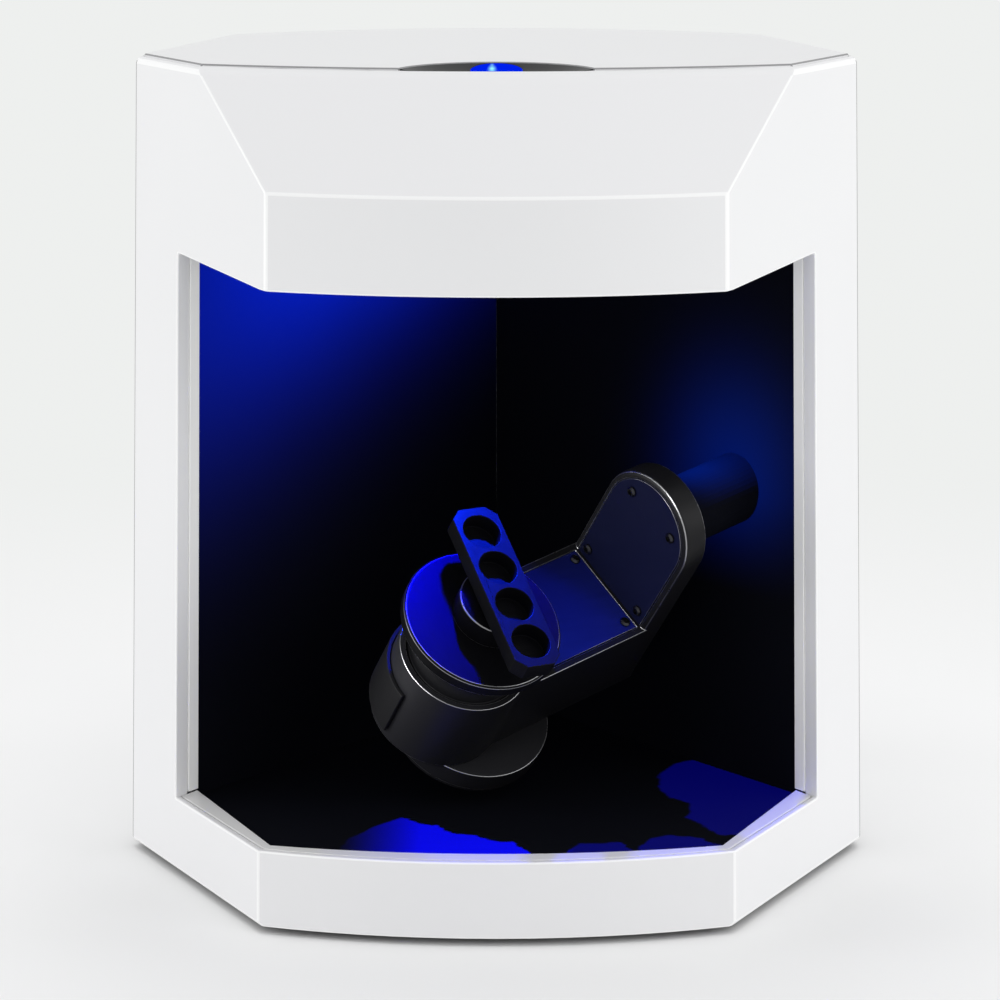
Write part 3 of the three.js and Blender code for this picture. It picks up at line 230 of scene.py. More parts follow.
def make_mould_grain():
    """Fine leathery grain of a moulded surface, with a slow drift in tone."""
    inputs = [
        ("Size", "NodeSocketFloat", 1.0),
        ("Tone", "NodeSocketColor", (0.8, 0.8, 0.8, 1.0)),
        ("Drift", "NodeSocketFloat", 0.02),
    ]
    outputs = [("Colour", "NodeSocketColor"), ("Height", "NodeSocketFloat"), ("Sheen", "NodeSocketFloat")]
    group, entry, leave = new_group("mould grain", inputs, outputs)
    place = object_place(group)
    scaled = vector_math(group, "SCALE", place)
    group.links.new(entry.outputs["Size"], scaled.inputs["Scale"])
    fine = noise(group, scaled.outputs["Vector"], GRAIN_FINENESS, 2.0)
    slow = noise(group, place, DRIFT_FINENESS, 2.0)
    lift = spread(group, slow, *NOISE_BAND, -1.0, 1.0)
    colour = shift_tone(group, entry.outputs["Tone"], lift, entry.outputs["Drift"])
    group.links.new(colour, leave.inputs["Colour"])
    group.links.new(fine, leave.inputs["Height"])
    group.links.new(lift, leave.inputs["Sheen"])
    return group


def make_brushed():
    """Fine straight scratches along one axis, for machined and anodised metal."""
    inputs = [
        ("Stretch", "NodeSocketVector", (1.0, 1.0, 1.0)),
        ("Tone", "NodeSocketColor", (0.5, 0.5, 0.5, 1.0)),
        ("Contrast", "NodeSocketFloat", 0.1),
    ]
    outputs = [("Colour", "NodeSocketColor"), ("Height", "NodeSocketFloat")]
    group, entry, leave = new_group("brushed lines", inputs, outputs)
    scaled = vector_math(group, "MULTIPLY", object_place(group), entry.outputs["Stretch"])
    lines = noise(group, scaled.outputs["Vector"], SCRATCH_FINENESS, 4.0, 0.65)
    lift = spread(group, lines, *SCRATCH_BAND, -1.0, 1.0)
    colour = shift_tone(group, entry.outputs["Tone"], lift, entry.outputs["Contrast"])
    group.links.new(colour, leave.inputs["Colour"])
    group.links.new(lines, leave.inputs["Height"])
    return group


def make_dust():
    """Sparse pale specks that lie thickest on faces that look up."""
    inputs = [
        ("Amount", "NodeSocketFloat", 0.3),
        ("Tone", "NodeSocketColor", (0.1, 0.1, 0.1, 1.0)),
        ("Dust", "NodeSocketColor", (0.4, 0.4, 0.42, 1.0)),
    ]
    outputs = [("Colour", "NodeSocketColor"), ("Mask", "NodeSocketFloat")]
    group, entry, leave = new_group("dust", inputs, outputs)
    place = object_place(group)
    specks = group.nodes.new("ShaderNodeTexVoronoi")
    specks.inputs["Scale"].default_value = SPECK_FINENESS
    group.links.new(place, specks.inputs["Vector"])
    dots = spread(group, specks.outputs["Distance"], SPECK_RIM, SPECK_MIDDLE)
    where = spread(group, noise(group, place, DUST_PATCH_FINENESS, 3.0), *DUST_PATCH_BAND)
    facing = group.nodes.new("ShaderNodeSeparateXYZ")
    shape = group.nodes.new("ShaderNodeNewGeometry")
    group.links.new(shape.outputs["Normal"], facing.inputs[0])
    upward = spread(group, facing.outputs["Z"], 0.0, LEVEL_FACE, DUST_ON_UPRIGHT_FACES, 1.0)
    mask = product(group, product(group, dots, where), upward)
    mask = product(group, mask, entry.outputs["Amount"])
    colour = blend_colours(group, mask, entry.outputs["Tone"], entry.outputs["Dust"])
    group.links.new(colour, leave.inputs["Colour"])
    group.links.new(mask, leave.inputs["Mask"])
    return group


MOULD_GRAIN = make_mould_grain()
BRUSHED = make_brushed()
DUST = make_dust()


# Materials

# Depth and strength of the finest relief
GRAIN_DEPTH = 0.05 * MM
DUSTY_GRAIN_DEPTH = 0.04 * MM
SCRATCH_DEPTH = 0.03 * MM
DUSTY_GRAIN_STRENGTH = 0.2
SCRATCH_STRENGTH = 0.12

# How far the roughness changes with the drift, the dust and the scratches
SHEEN_DRIFT = 0.03
DUSTY_SHEEN_DRIFT = 0.04
DUST_ROUGHNESS = 0.4
SCRATCH_ROUGHNESS = 0.06

# Tones of the dusty finishes
DUSTY_TONE_DRIFT = 0.08
DUST_COLOUR = (0.25, 0.25, 0.28)


def new_material(name, roughness, metallic=0.0, **constants):
    material = bpy.data.materials.new(name)
    material.use_nodes = True
    tree = material.node_tree
    shader = tree.nodes["Principled BSDF"]
    shader.inputs["Roughness"].default_value = roughness
    shader.inputs["Metallic"].default_value = metallic
    for label, value in constants.items():
        shader.inputs[label.replace("_", " ")].default_value = value
    return material, tree, shader


def use_group(tree, group, **values):
    node = tree.nodes.new("ShaderNodeGroup")
    node.node_tree = group
    for label, value in values.items():
        socket = node.inputs[label]
        if isinstance(value, bpy.types.NodeSocket):
            tree.links.new(value, socket)
        elif isinstance(value, tuple) and socket.type == "RGBA":
            socket.default_value = (*value, 1.0)
        else:
            socket.default_value = value
    return node


def add_bump(tree, shader, height, strength, distance):
    bump = tree.nodes.new("ShaderNodeBump")
    bump.inputs["Strength"].default_value = strength
    bump.inputs["Distance"].default_value = distance
    tree.links.new(height, bump.inputs["Height"])
    tree.links.new(bump.outputs["Normal"], shader.inputs["Normal"])


def moulded(name, colour, roughness, strength, drift, grain=1.0, **constants):
    """Moulded plastic or rubber. Strength is that of the grain's relief, and drift that of the tone."""
    material, tree, shader = new_material(name, roughness, **constants)
    grained = use_group(tree, MOULD_GRAIN, Size=grain, Tone=colour, Drift=drift)
    tree.links.new(grained.outputs["Colour"], shader.inputs["Base Color"])
    rough = product(tree, grained.outputs["Sheen"], SHEEN_DRIFT)
    tree.links.new(total(tree, rough, roughness), shader.inputs["Roughness"])
    add_bump(tree, shader, grained.outputs["Height"], strength, GRAIN_DEPTH)
    return material


def dusty(name, colour, roughness, amount, **constants):
    """A dark finish with fine grain and this amount of dust."""
    material, tree, shader = new_material(name, roughness, **constants)
    grained = use_group(tree, MOULD_GRAIN, Size=1.0, Tone=colour, Drift=DUSTY_TONE_DRIFT)
    specks = use_group(tree, DUST, Amount=amount, Tone=grained.outputs["Colour"], Dust=DUST_COLOUR)
    tree.links.new(specks.outputs["Colour"], shader.inputs["Base Color"])
    rough = product(tree, specks.outputs["Mask"], DUST_ROUGHNESS)
    drift = product(tree, grained.outputs["Sheen"], DUSTY_SHEEN_DRIFT)
    tree.links.new(total(tree, total(tree, rough, drift), roughness), shader.inputs["Roughness"])
    add_bump(tree, shader, grained.outputs["Height"], DUSTY_GRAIN_STRENGTH, DUSTY_GRAIN_DEPTH)
    return material


def machined(name, colour, roughness, stretch, contrast, metallic=1.0, **constants):
    """Machined or anodised metal, with its scratches closest along the axis with the largest stretch."""
    material, tree, shader = new_material(name, roughness, metallic, **constants)
    lines = use_group(tree, BRUSHED, Stretch=stretch, Tone=colour, Contrast=contrast)
    tree.links.new(lines.outputs["Colour"], shader.inputs["Base Color"])
    rough = spread(tree, lines.outputs["Height"], *NOISE_BAND, roughness - SCRATCH_ROUGHNESS,
                   roughness + SCRATCH_ROUGHNESS)
    tree.links.new(rough, shader.inputs["Roughness"])
    add_bump(tree, shader, lines.outputs["Height"], SCRATCH_STRENGTH, SCRATCH_DEPTH)
    return material


def glass_material():
    material, _, _ = new_material("window_glass", 0.03, Base_Color=(0.93, 0.97, 1.0, 1.0),
                                  Transmission_Weight=1.0, IOR=1.5)
    return material


# The lit key and its well: their plastic, and their glow between and on the hot spots. The key's glow is
# its lamp; the well's glow is a painted reflection of it
COVER_BLUE = (0.0, 0.01, 0.1, 1.0)
DIM_BLUE = (0.0, 0.01, 0.75)
HOT_CYAN = (0.35, 1.0, 1.0)

# In millimetres: hot spots on the key's top and on the wall of its well, as place, size and strength, and
# where the well is. The spots on the well's wall are a painted reflection of the key's glow
KEY_SPOTS = [((-1.7, -51.6, 323.3), 2.4, 1.4), ((-1.7, -62.0, 323.3), 3.0, 0.4)]
WELL_SPOTS = [((-1.7, -47.8, 323.2), 2.2, 1.6), ((-1.7, -47.8, 324.9), 1.2, 0.4)]
WELL_MIDDLE = (0.0, -57.0)
WELL_RADIUS = 11.0


def glowing(name, spots, weights):
    """Plastic that glows blue and is cyan-white at its hot spots: over a lamp on the key, and as a painted
    reflection of the key's glow on the well's wall. The weights say how much each axis counts for the
    distance from a spot."""
    material, tree, shader = new_material(name, 0.25, Base_Color=COVER_BLUE, Specular_IOR_Level=0.0,
                                          Emission_Strength=1.0)
    heat = 0.0
    for place, size, strength in spots:
        away = vector_math(tree, "SUBTRACT", object_place(tree), Vector(place) * MM)
        weighted = vector_math(tree, "MULTIPLY", away.outputs["Vector"], weights)
        distance = vector_math(tree, "LENGTH", weighted.outputs["Vector"])
        near = spread(tree, distance.outputs["Value"], size * MM, 0.0)
        heat = total(tree, product(tree, product(tree, near, near), strength), heat)
    colour = blend_colours(tree, spread(tree, heat, 0.0, 1.0), DIM_BLUE, HOT_CYAN)
    tree.links.new(colour, shader.inputs["Emission Color"])
    return material


# Painted highlight: a little light of its own stands for the gleam that a rounded edge catches
EDGE_GLEAM = {"Emission_Color": (1.0, 1.0, 1.0, 1.0), "Emission_Strength": 0.04}
METAL_GLEAM = {"Emission_Color": (1.0, 1.0, 1.0, 1.0), "Emission_Strength": 0.01}

WHITE_SHELL = moulded("white_shell", (0.86, 0.86, 0.868), 0.34, strength=0.06, drift=0.006)
# The shell's edges are a lighter white than its faces and have a little light of their own: a painted
# highlight
WHITE_EDGE_HIGHLIGHT = moulded("white_shell_edge_highlight", (0.94, 0.94, 0.94), 0.3, strength=0.03, drift=0.0, **EDGE_GLEAM)
GREY_TRIM = moulded("grey_trim", (0.86, 0.86, 0.85), 0.34, strength=0.05, drift=0.02)
SEAM_SHADE = moulded("seam_shade", (0.3, 0.3, 0.305), 0.5, strength=0.03, drift=0.0)
CHAMBER_BLACK = moulded("chamber_black", (0.0024, 0.0028, 0.0055), 0.8, strength=0.25, drift=0.1,
                        grain=0.8, Specular_IOR_Level=0.05)
BLACK_GLOSS = moulded("black_gloss", (0.012, 0.012, 0.014), 0.22, strength=0.02, drift=0.05,
                      Specular_IOR_Level=0.03)
ARM_CASTING = dusty("arm_casting", (0.005, 0.005, 0.006), 0.42, 0.08, Specular_IOR_Level=0.14)
# The plate's blue tint is painted blue light of the scan head, on top of the spot that reaches it
ARM_PLATE_PAINTED_BLUE = machined("arm_plate", (0.004, 0.005, 0.02), 0.45, (1.0, 1.0, 20.0), 0.1, metallic=0.0,
                     Specular_IOR_Level=0.1)
DISC_METAL = machined("disc_metal", (0.003, 0.003, 0.0042), 0.45, (6.0, 6.0, 1.0), 0.08, metallic=0.0,
                      Specular_IOR_Level=0.06)
# Polished metal edges: partly real polish, partly a painted highlight from a little light of their own
POLISHED_EDGE_AND_HIGHLIGHT = machined("polished_edge_and_highlight", (0.3, 0.3, 0.31), 0.3, (4.0, 4.0, 4.0), 0.05, **METAL_GLEAM)
STEEL = machined("steel", (0.55, 0.56, 0.58), 0.28, (1.0, 12.0, 12.0), 0.12)
SCREW_STEEL = machined("screw_steel", (0.05, 0.05, 0.055), 0.4, (8.0, 8.0, 8.0), 0.15)
RUBBER = moulded("rubber", (0.02, 0.02, 0.02), 0.8, strength=0.4, drift=0.1)
CIRCUIT = moulded("circuit", (0.01, 0.09, 0.035), 0.35, strength=0.2, drift=0.15)
DARK_PLASTIC = dusty("dark_plastic", (0.006, 0.006, 0.007), 0.5, 0.08, Specular_IOR_Level=0.14)
CAST_ALUMINIUM = machined("cast_aluminium", (0.4, 0.41, 0.43), 0.45, (3.0, 3.0, 3.0), 0.08)
WINDOW_GLASS = glass_material()
KEY_LIGHT = glowing("key_light", KEY_SPOTS, (1.0, 0.35, 0.0))
# The well's wall is no lamp; its glow is a painted reflection of the key's glow
WELL_PAINTED_REFLECTION = glowing("well_painted_reflection", WELL_SPOTS, (1.0, 0.0, 1.0))

SLOT_MATERIALS = {
    "white_shell": WHITE_SHELL,
    "grey_trim": GREY_TRIM,
    "chamber_black": CHAMBER_BLACK,
    "black_gloss": BLACK_GLOSS,
    "arm_casting": ARM_CASTING,
    "arm_plate": ARM_PLATE_PAINTED_BLUE,
    "disc_metal": DISC_METAL,
    "steel": STEEL,
    "screw_steel": SCREW_STEEL,
    "rubber": RUBBER,
    "circuit": CIRCUIT,
    "window_glass": WINDOW_GLASS,
    "key_light": KEY_LIGHT,
    "dark_plastic": DARK_PLASTIC,
    "cast_aluminium": CAST_ALUMINIUM,
}

SLOT_OF = {entry["node"]: entry["material_slot"] for entry in frame["record"]["subparts"]}


def paint_nodes():
    for name, node in frame["nodes"].items():
        node.data.materials.clear()
        node.data.materials.append(SLOT_MATERIALS[SLOT_OF[name]])


# Soft-edged copies of the moulded and machined pieces

# In millimetres and degrees: corners nearer than this are one, faces flatter than this are merged,
# shorter edges are dropped, and sharper bends are rounded
SAME_CORNER = 0.002
FLAT_BEND = 0.6
SHORTEST_EDGE = 0.4
ROUNDED_BEND = 28.0

# How much more a large face counts than a small one where a bend is shaded smooth
LARGE_FACE_WEIGHT = 80

# Places of the finishes on a piece whose edges have a finish of their own
PLAIN, EDGE, SEAM = 0, 1, 2

# In millimetres: the casing's own corners are rounded by strips narrower than this, and its two
# shells meet farther out than this
SHELLS = ("front_shell", "rear_shell")
STRIP_WIDTH = 1.9
SEAM_REACH = 135.0

# The most that an upright face's normal points up, and the least for faces that look sideways or up
UPRIGHT = 0.6
SIDEWAYS = 0.85
LOOKS_UP = 0.75

# Width in millimetres and steps of the rounded edges, and the edges' own finish if they have one; the white
# and the polished edges carry a painted highlight
EDGE_FINISH = {
    "front_shell": (0.75, 3, WHITE_EDGE_HIGHLIGHT),
    "rear_shell": (0.6, 2, WHITE_EDGE_HIGHLIGHT),
    "top_cover": (0.6, 2, SEAM_SHADE),
    "status_dish": (0.3, 2, None),
    "sill_tread": (0.3, 2, None),
    "bezel_left": (0.3, 2, None),
    "bezel_right": (0.3, 2, None),
    "arm_body": (0.28, 2, POLISHED_EDGE_AND_HIGHLIGHT),
    "arm_plate": (0.14, 1, POLISHED_EDGE_AND_HIGHLIGHT),
    "shelf_plate": (0.14, 1, POLISHED_EDGE_AND_HIGHLIGHT),
    "drive_housing": (0.3, 2, POLISHED_EDGE_AND_HIGHLIGHT),
    "drive_cap": (0.5, 2, None),
    "rear_guard": (0.4, 2, None),
    "turntable_bearing": (0.4, 2, None),
    "turntable_disc": (0.14, 1, POLISHED_EDGE_AND_HIGHLIGHT),
    "carrier_bar": (0.3, 2, None),
    "holder_puck": (0.4, 2, POLISHED_EDGE_AND_HIGHLIGHT),
}


def merge_faces(mesh):
    work = bmesh.new()
    work.from_mesh(mesh)
    bmesh.ops.remove_doubles(work, verts=work.verts, dist=SAME_CORNER * MM)
    bmesh.ops.dissolve_limit(work, angle_limit=math.radians(FLAT_BEND), verts=work.verts, edges=work.edges)
    bmesh.ops.dissolve_degenerate(work, edges=work.edges, dist=SHORTEST_EDGE * MM)
    work.to_mesh(mesh)
    work.free()


def round_edges(piece, width, steps):
    bevel = piece.modifiers.new("round", "BEVEL")
    bevel.width = width * MM
    bevel.segments = steps
    bevel.limit_method = "ANGLE"
    bevel.angle_limit = math.radians(ROUNDED_BEND)
    bevel.use_clamp_overlap = False
    bevel.miter_outer = "MITER_ARC"
    return bevel


def settle(piece):
    """Applies the modifiers, so that the piece's own mesh is the final one."""
    for polygon in piece.data.polygons:
        polygon.use_smooth = True
    depsgraph = bpy.context.evaluated_depsgraph_get()
    final = bpy.data.meshes.new_from_object(piece.evaluated_get(depsgraph))
    piece.modifiers.clear()
    piece.data = final


def finish_edges(mesh):
    """Gives the edge finish, a painted highlight, also to the thin upright strips that round off the
    casing's own corners. Then edges at the two sides, where the shells meet, get the seam shade, and edges
    that look up get the plain finish."""
    for polygon in mesh.polygons:
        corners = [mesh.vertices[index].co for index in polygon.vertices]
        outline = sum((a - b).length for a, b in zip(corners, corners[1:] + corners[:1]))
        if polygon.material_index == PLAIN:
            narrow = 2.0 * polygon.area / outline < STRIP_WIDTH * MM
            if narrow and abs(polygon.normal.z) < UPRIGHT:
                polygon.material_index = EDGE
        if polygon.material_index == EDGE:
            if abs(polygon.normal.x) > SIDEWAYS and abs(polygon.center.x) > SEAM_REACH * MM:
                polygon.material_index = SEAM
            elif polygon.normal.z > LOOKS_UP:
                polygon.material_index = PLAIN


def soften(node_name, width, steps, edge):
    """A copy of a node with its flat faces merged, its edges rounded and its bends shaded smooth.
    The rounded edges get the finish that edge names, if any."""
    node = frame["nodes"][node_name]
    mesh = node.data.copy()
    piece = add_object(f"soft_{node_name}", mesh)
    merge_faces(mesh)
    mesh.materials.clear()
    mesh.materials.append(SLOT_MATERIALS[SLOT_OF[node_name]])
    bevel = round_edges(piece, width, steps)
    if edge:
        mesh.materials.append(edge)
        mesh.materials.append(SEAM_SHADE)
        bevel.material = EDGE
    weighted = piece.modifiers.new("shade", "WEIGHTED_NORMAL")
    weighted.keep_sharp = True
    weighted.weight = LARGE_FACE_WEIGHT
    settle(piece)
    if node_name in SHELLS:
        finish_edges(piece.data)
    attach(piece, node["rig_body"])
    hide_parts(node_name)
    return piece


def soften_pieces():
    return {name: soften(name, *finish) for name, finish in EDGE_FINISH.items()}


def paint_well_reflection(dish):
    """The upright wall of the well round the key glows too: a painted reflection of the key's glow."""
    dish.data.materials.append(WELL_PAINTED_REFLECTION)
    for polygon in dish.data.polygons:
        sideways = polygon.center.x - WELL_MIDDLE[0] * MM
        deep = polygon.center.y - WELL_MIDDLE[1] * MM
        if math.hypot(sideways, deep) < WELL_RADIUS * MM and abs(polygon.normal.z) < UPRIGHT:
            polygon.material_index = len(dish.data.materials) - 1


# Floor and world

BACKDROP = (0.855, 0.868, 0.858)
FLOOR_PAPER = (0.86, 0.862, 0.86)
BLACK = (0.0, 0.0, 0.0)
ROOM_COLOUR = (1.0, 1.0, 1.01)
ROOM_LIGHT = 0.77

# In metres from the object's middle: the floor's edge, and where its plain backdrop begins and is full
FLOOR_HALF = 6.0
FLOOR_NEAR = 0.3
FLOOR_FAR = 0.75


def add_floor():
    """A pale floor that takes light and shadow near the object and is plain backdrop farther out."""
    mesh = bpy.data.meshes.new("floor")
    corners = [(-1, -1), (1, -1), (1, 1), (-1, 1)]
    mesh.from_pydata([(x * FLOOR_HALF, y * FLOOR_HALF, 0.0) for x, y in corners], [], [(0, 1, 2, 3)])
    floor = add_object("floor", mesh)
    material, tree, shader = new_material("floor_paper", 0.9, Specular_IOR_Level=0.0,
                                          Emission_Strength=1.0)
    distance = vector_math(tree, "LENGTH", object_place(tree))
    away = spread(tree, distance.outputs["Value"], FLOOR_NEAR, FLOOR_FAR)
    tree.links.new(blend_colours(tree, away, FLOOR_PAPER, BLACK), shader.inputs["Base Color"])
    tree.links.new(blend_colours(tree, away, BLACK, BACKDROP), shader.inputs["Emission Color"])
    mesh.materials.append(material)
    return floor


def add_world():
    """Even room light, and the backdrop's colour wherever the world is seen, mirrored or looked through."""
    world = bpy.data.worlds.new("studio")
    world.use_nodes = True
    bpy.context.scene.world = world
    tree = world.node_tree
    background = tree.nodes["Background"]
    rays = tree.nodes.new("ShaderNodeLightPath")
    seen = arithmetic(tree, "MAXIMUM", rays.outputs["Is Camera Ray"], rays.outputs["Is Glossy Ray"])
    seen = arithmetic(tree, "MAXIMUM", seen, rays.outputs["Is Transmission Ray"])
    colour = blend_colours(tree, seen, ROOM_COLOUR, BACKDROP)
    tree.links.new(colour, background.inputs["Color"])
    strength = spread(tree, seen, 0.0, 1.0, ROOM_LIGHT, 1.0)
    tree.links.new(strength, background.inputs["Strength"])


# Lamps

WHITE = (1.0, 1.0, 1.0)
SCAN_BLUE = (0.0, 0.02, 1.0)
PURE_BLUE = (0.0, 0.0, 1.0)
PALE_BLUE = (0.05, 0.06, 1.0)
SHELF_BLUE = (0.0, 0.1, 1.0)
LEFT_GLOW = (0.0, 0.035, 1.0)
RIGHT_GLOW = (0.0, 0.09, 1.0)

# The lamps' own radius in millimetres
SPOT_RADIUS = 4.0
PROJECTOR_RADIUS = 0.5

# A patterned lamp is kept even over its plane until the light's angle to it has this sine
LEAST_SLANT = 0.12


def turn_towards(lamp, place, target):
    aim = Vector(target) - Vector(place)
    lamp.rotation_euler = aim.to_track_quat("-Z", "Y").to_euler()


def add_area(name, place, target, size, power):
    """A white area lamp, given in metres and watts."""
    data = bpy.data.lights.new(name, "AREA")
    data.shape = "RECTANGLE"
    data.size, data.size_y = size
    data.energy = power
    lamp = add_object(name, data)
    lamp.location = place
    turn_towards(lamp, place, target)
    return lamp


def add_spot(name, place, target, angle, blur, power, colour):
    """A spot lamp, given in millimetres, degrees and watts."""
    data = bpy.data.lights.new(name, "SPOT")
    data.energy = power
    data.color = colour
    data.spot_size = math.radians(angle)
    data.spot_blend = blur
    data.shadow_soft_size = SPOT_RADIUS * MM
    lamp = add_object(name, data)
    lamp.location = Vector(place) * MM
    turn_towards(lamp, place, target)
    return lamp


def gather(name, pieces):
    group = bpy.data.collections.new(name)
    for piece in pieces:
        group.objects.link(piece)
    return group


def shine_only_on(lamp, pieces, blockers=()):
    """Limits a lamp to these pieces. Only the blockers, or else everything, cast their shadow in it."""
    lamp.light_linking.receiver_collection = gather(f"{lamp.name} reaches", pieces)
    if blockers:
        lamp.light_linking.blocker_collection = gather(f"{lamp.name} is blocked by", blockers)


def along(tree, ray, axis):
    return vector_math(tree, "DOT_PRODUCT", ray, axis).outputs["Value"]


def add_projector(name, place, plane, pattern, strength, colour):
    """A lamp that throws a pattern onto a plane, given by a point and its across and up axes in
    millimetres. pattern(tree, x, y) is the light there, and strength is in watts a square metre."""
    origin, across, up = (Vector(value) for value in plane)
    normal = across.cross(up)
    offset = Vector(place) - origin
    away = offset.dot(normal)
    data = bpy.data.lights.new(name, "POINT")
    data.energy = strength * 4.0 * math.pi * (away * MM) ** 2
    data.color = colour
    data.shadow_soft_size = PROJECTOR_RADIUS * MM
    data.use_nodes = True
    tree = data.node_tree
    shader = [node for node in tree.nodes if node.type == "EMISSION"][0]
    ray = tree.nodes.new("ShaderNodeTexCoord").outputs["Normal"]
    outward = along(tree, ray, normal)
    towards = product(tree, outward, -math.copysign(1.0, away))
    ahead = arithmetic(tree, "GREATER_THAN", towards, 0.0)
    spots = []
    for axis in (across, up):
        slope = arithmetic(tree, "DIVIDE", along(tree, ray, axis), outward)
        spots.append(total(tree, product(tree, slope, -away), offset.dot(axis)))
    # The third power makes up for the distance, which counts twice, and for the slant on the plane
    even = arithmetic(tree, "POWER", arithmetic(tree, "MAXIMUM", towards, LEAST_SLANT), -3.0)
    light = product(tree, product(tree, pattern(tree, *spots), even), ahead)
    tree.links.new(light, shader.inputs["Strength"])
    lamp = add_object(name, data)
    lamp.location = Vector(place) * MM
    return lamp


# Patterns of the scan light, in millimetres on the chamber's floor, its walls and the sill

FLOOR_PLANE = ((0, 0, 29), (1, 0, 0), (0, 1, 0))
SILL_PLANE = ((0, 0, 31), (1, 0, 0), (0, 1, 0))
LEFT_WALL_PLANE = ((-120.4, -36, 0), (0.65, 0.76, 0), (0, 0, 1))
RIGHT_WALL_PLANE = ((120.4, -36, 0), (-0.65, 0.76, 0), (0, 0, 1))

# Outlines of the two patches on the floor: y over x in front of the arm, and x over y right of it
FRONT_PATCH_EDGE = [(-62, -125), (-58, -92), (-47.5, -76), (-39, -67), (-34, -68), (-26, -76),
                    (-17, -85), (-10, -87), (-2, -93), (7, -97), (16, -110), (26, -110), (31, -98),
                    (36, -97), (46, -96), (50, -99), (53, -110), (57, -97), (60, -91), (66, -88),
                    (75, -89), (81, -92), (86, -97), (92, -110), (115, -110)]
RIGHT_PATCH_EDGE = [(-125, 130), (-92, 104), (-85, 85), (-73, 79), (-66, 74), (-57, 78), (-48, 76),
                    (-38, 67.7), (-30, 66), (-25, 67), (-12, 65), (-4, 69), (6, 75), (16, 90), (30, 130)]

# Light along the sill: x and share
SILL_PATCHES = [(-70, 0.0), (-34, 0.5), (-20, 1.0), (6, 1.0), (13, 0.05), (22, 0.1), (26, 0.9),
                (38, 0.9), (44, 0.1), (50, 0.15), (56, 1.0), (84, 1.0), (88, 0.25), (94, 0.3),
                (99, 1.0), (122, 1.0), (126, 0.0)]

# Size of the tears in a patch's edge, and how far they shift it
FLOOR_TEARS = (9.0, 1.6)
SILL_TEARS = (14.0, 3.0)

# How soft the edges are, where the front patch fades in x, and the share of light that stays right
FRONT_BLUR = 0.8
RIGHT_BLUR = 1.2
FRONT_FADE_LEFT = (-64.0, -30.0)
FRONT_FADE_RIGHT = (12.0, 30.0)
FRONT_SHARE_RIGHT = 0.14
RIGHT_SHARE = 0.13

# Middle, widths and turn of the soft ovals on the walls, and the heights where the arm's shadow ends
LEFT_OVAL = ((243.6, 390.0), (188.2, 56.4), 0.6255)
RIGHT_OVAL = ((37.5, 158.0), (33.0, 36.0), 0.0)
ARM_SHADOW_END = (108.0, 150.0)


def wobble(tree, x, y, size, reach):
    """An uneven shift, in millimetres, for the torn edge of a patch of light."""
    place = tree.nodes.new("ShaderNodeCombineXYZ")
    tree.links.new(x, place.inputs["X"])
    tree.links.new(y, place.inputs["Y"])
    rough = noise(tree, place.outputs["Vector"], 1.0 / size, 2.0)
    return spread(tree, rough, *NOISE_BAND, -reach, reach)


def floor_patches(tree, x, y):
    """Two torn patches of scan light on the floor: in front of the arm, and right of it."""
    shift = wobble(tree, x, y, *FLOOR_TEARS)
    moved_x = total(tree, x, shift)
    moved_y = total(tree, y, shift)
    front_edge = follow_curve(tree, moved_x, FRONT_PATCH_EDGE)
    front = spread(tree, arithmetic(tree, "SUBTRACT", front_edge, moved_y), 0.0, FRONT_BLUR)
    fade = spread(tree, x, *FRONT_FADE_LEFT)
    front = product(tree, front, product(tree, fade, fade))
    front = product(tree, front, spread(tree, x, *FRONT_FADE_RIGHT, 1.0, FRONT_SHARE_RIGHT))
    right_edge = follow_curve(tree, moved_y, RIGHT_PATCH_EDGE)
    inside = arithmetic(tree, "SUBTRACT", moved_x, right_edge)
    right = spread(tree, inside, 0.0, RIGHT_BLUR, 0.0, RIGHT_SHARE)
    return arithmetic(tree, "MAXIMUM", front, right)


def sill_patches(tree, x, y):
    return follow_curve(tree, total(tree, x, wobble(tree, x, y, *SILL_TEARS)), SILL_PATCHES)


def oval(tree, x, y, middle, widths, turn):
    """A soft oval of light that fades like a bell curve."""
    shift_x = arithmetic(tree, "SUBTRACT", x, middle[0])
    shift_y = arithmetic(tree, "SUBTRACT", y, middle[1])
    across = total(tree, product(tree, shift_x, math.cos(turn)), product(tree, shift_y, math.sin(turn)))
    upward = arithmetic(tree, "SUBTRACT", product(tree, shift_y, math.cos(turn)),
                        product(tree, shift_x, math.sin(turn)))
    across = arithmetic(tree, "DIVIDE", across, widths[0])
    upward = arithmetic(tree, "DIVIDE", upward, widths[1])
    square = total(tree, product(tree, across, across), product(tree, upward, upward))
    return arithmetic(tree, "POWER", math.e, product(tree, square, -1.0))


def left_wall_glow(tree, x, y):
    return oval(tree, x, y, *LEFT_OVAL)


def right_wall_glow(tree, x, y):
    """A soft oval that the arm's shadow cuts off from below."""
    return product(tree, oval(tree, x, y, *RIGHT_OVAL), spread(tree, y, *ARM_SHADOW_END))


# Studio lamps: name, place, target, size and power
STUDIO_LAMPS = [
    ("top lamp", (0.0, 0.3, 2.4), (0.0, 0.0, 0.2), (2.0, 2.0), 5.6),
    ("right softbox", (1.5, -0.9, 0.62), (0.1, -0.1, 0.15), (0.7, 0.9), 3.7),
    ("left softbox", (-1.6, -0.9, 0.8), (-0.1, -0.1, 0.15), (0.9, 0.9), 0.6),
    ("right side lamp", (2.0, -0.05, 0.4), (0.1, -0.05, 0.15), (0.5, 1.0), 4.6),
    ("left side lamp", (-2.0, -0.05, 0.4), (-0.1, -0.05, 0.15), (0.5, 1.0), 7.6),
]
FLOOR_LAMP = ("floor lamp", (0.0, -0.3, 2.6), (0.0, -0.1, 0.0), (1.6, 1.6), 11.0)

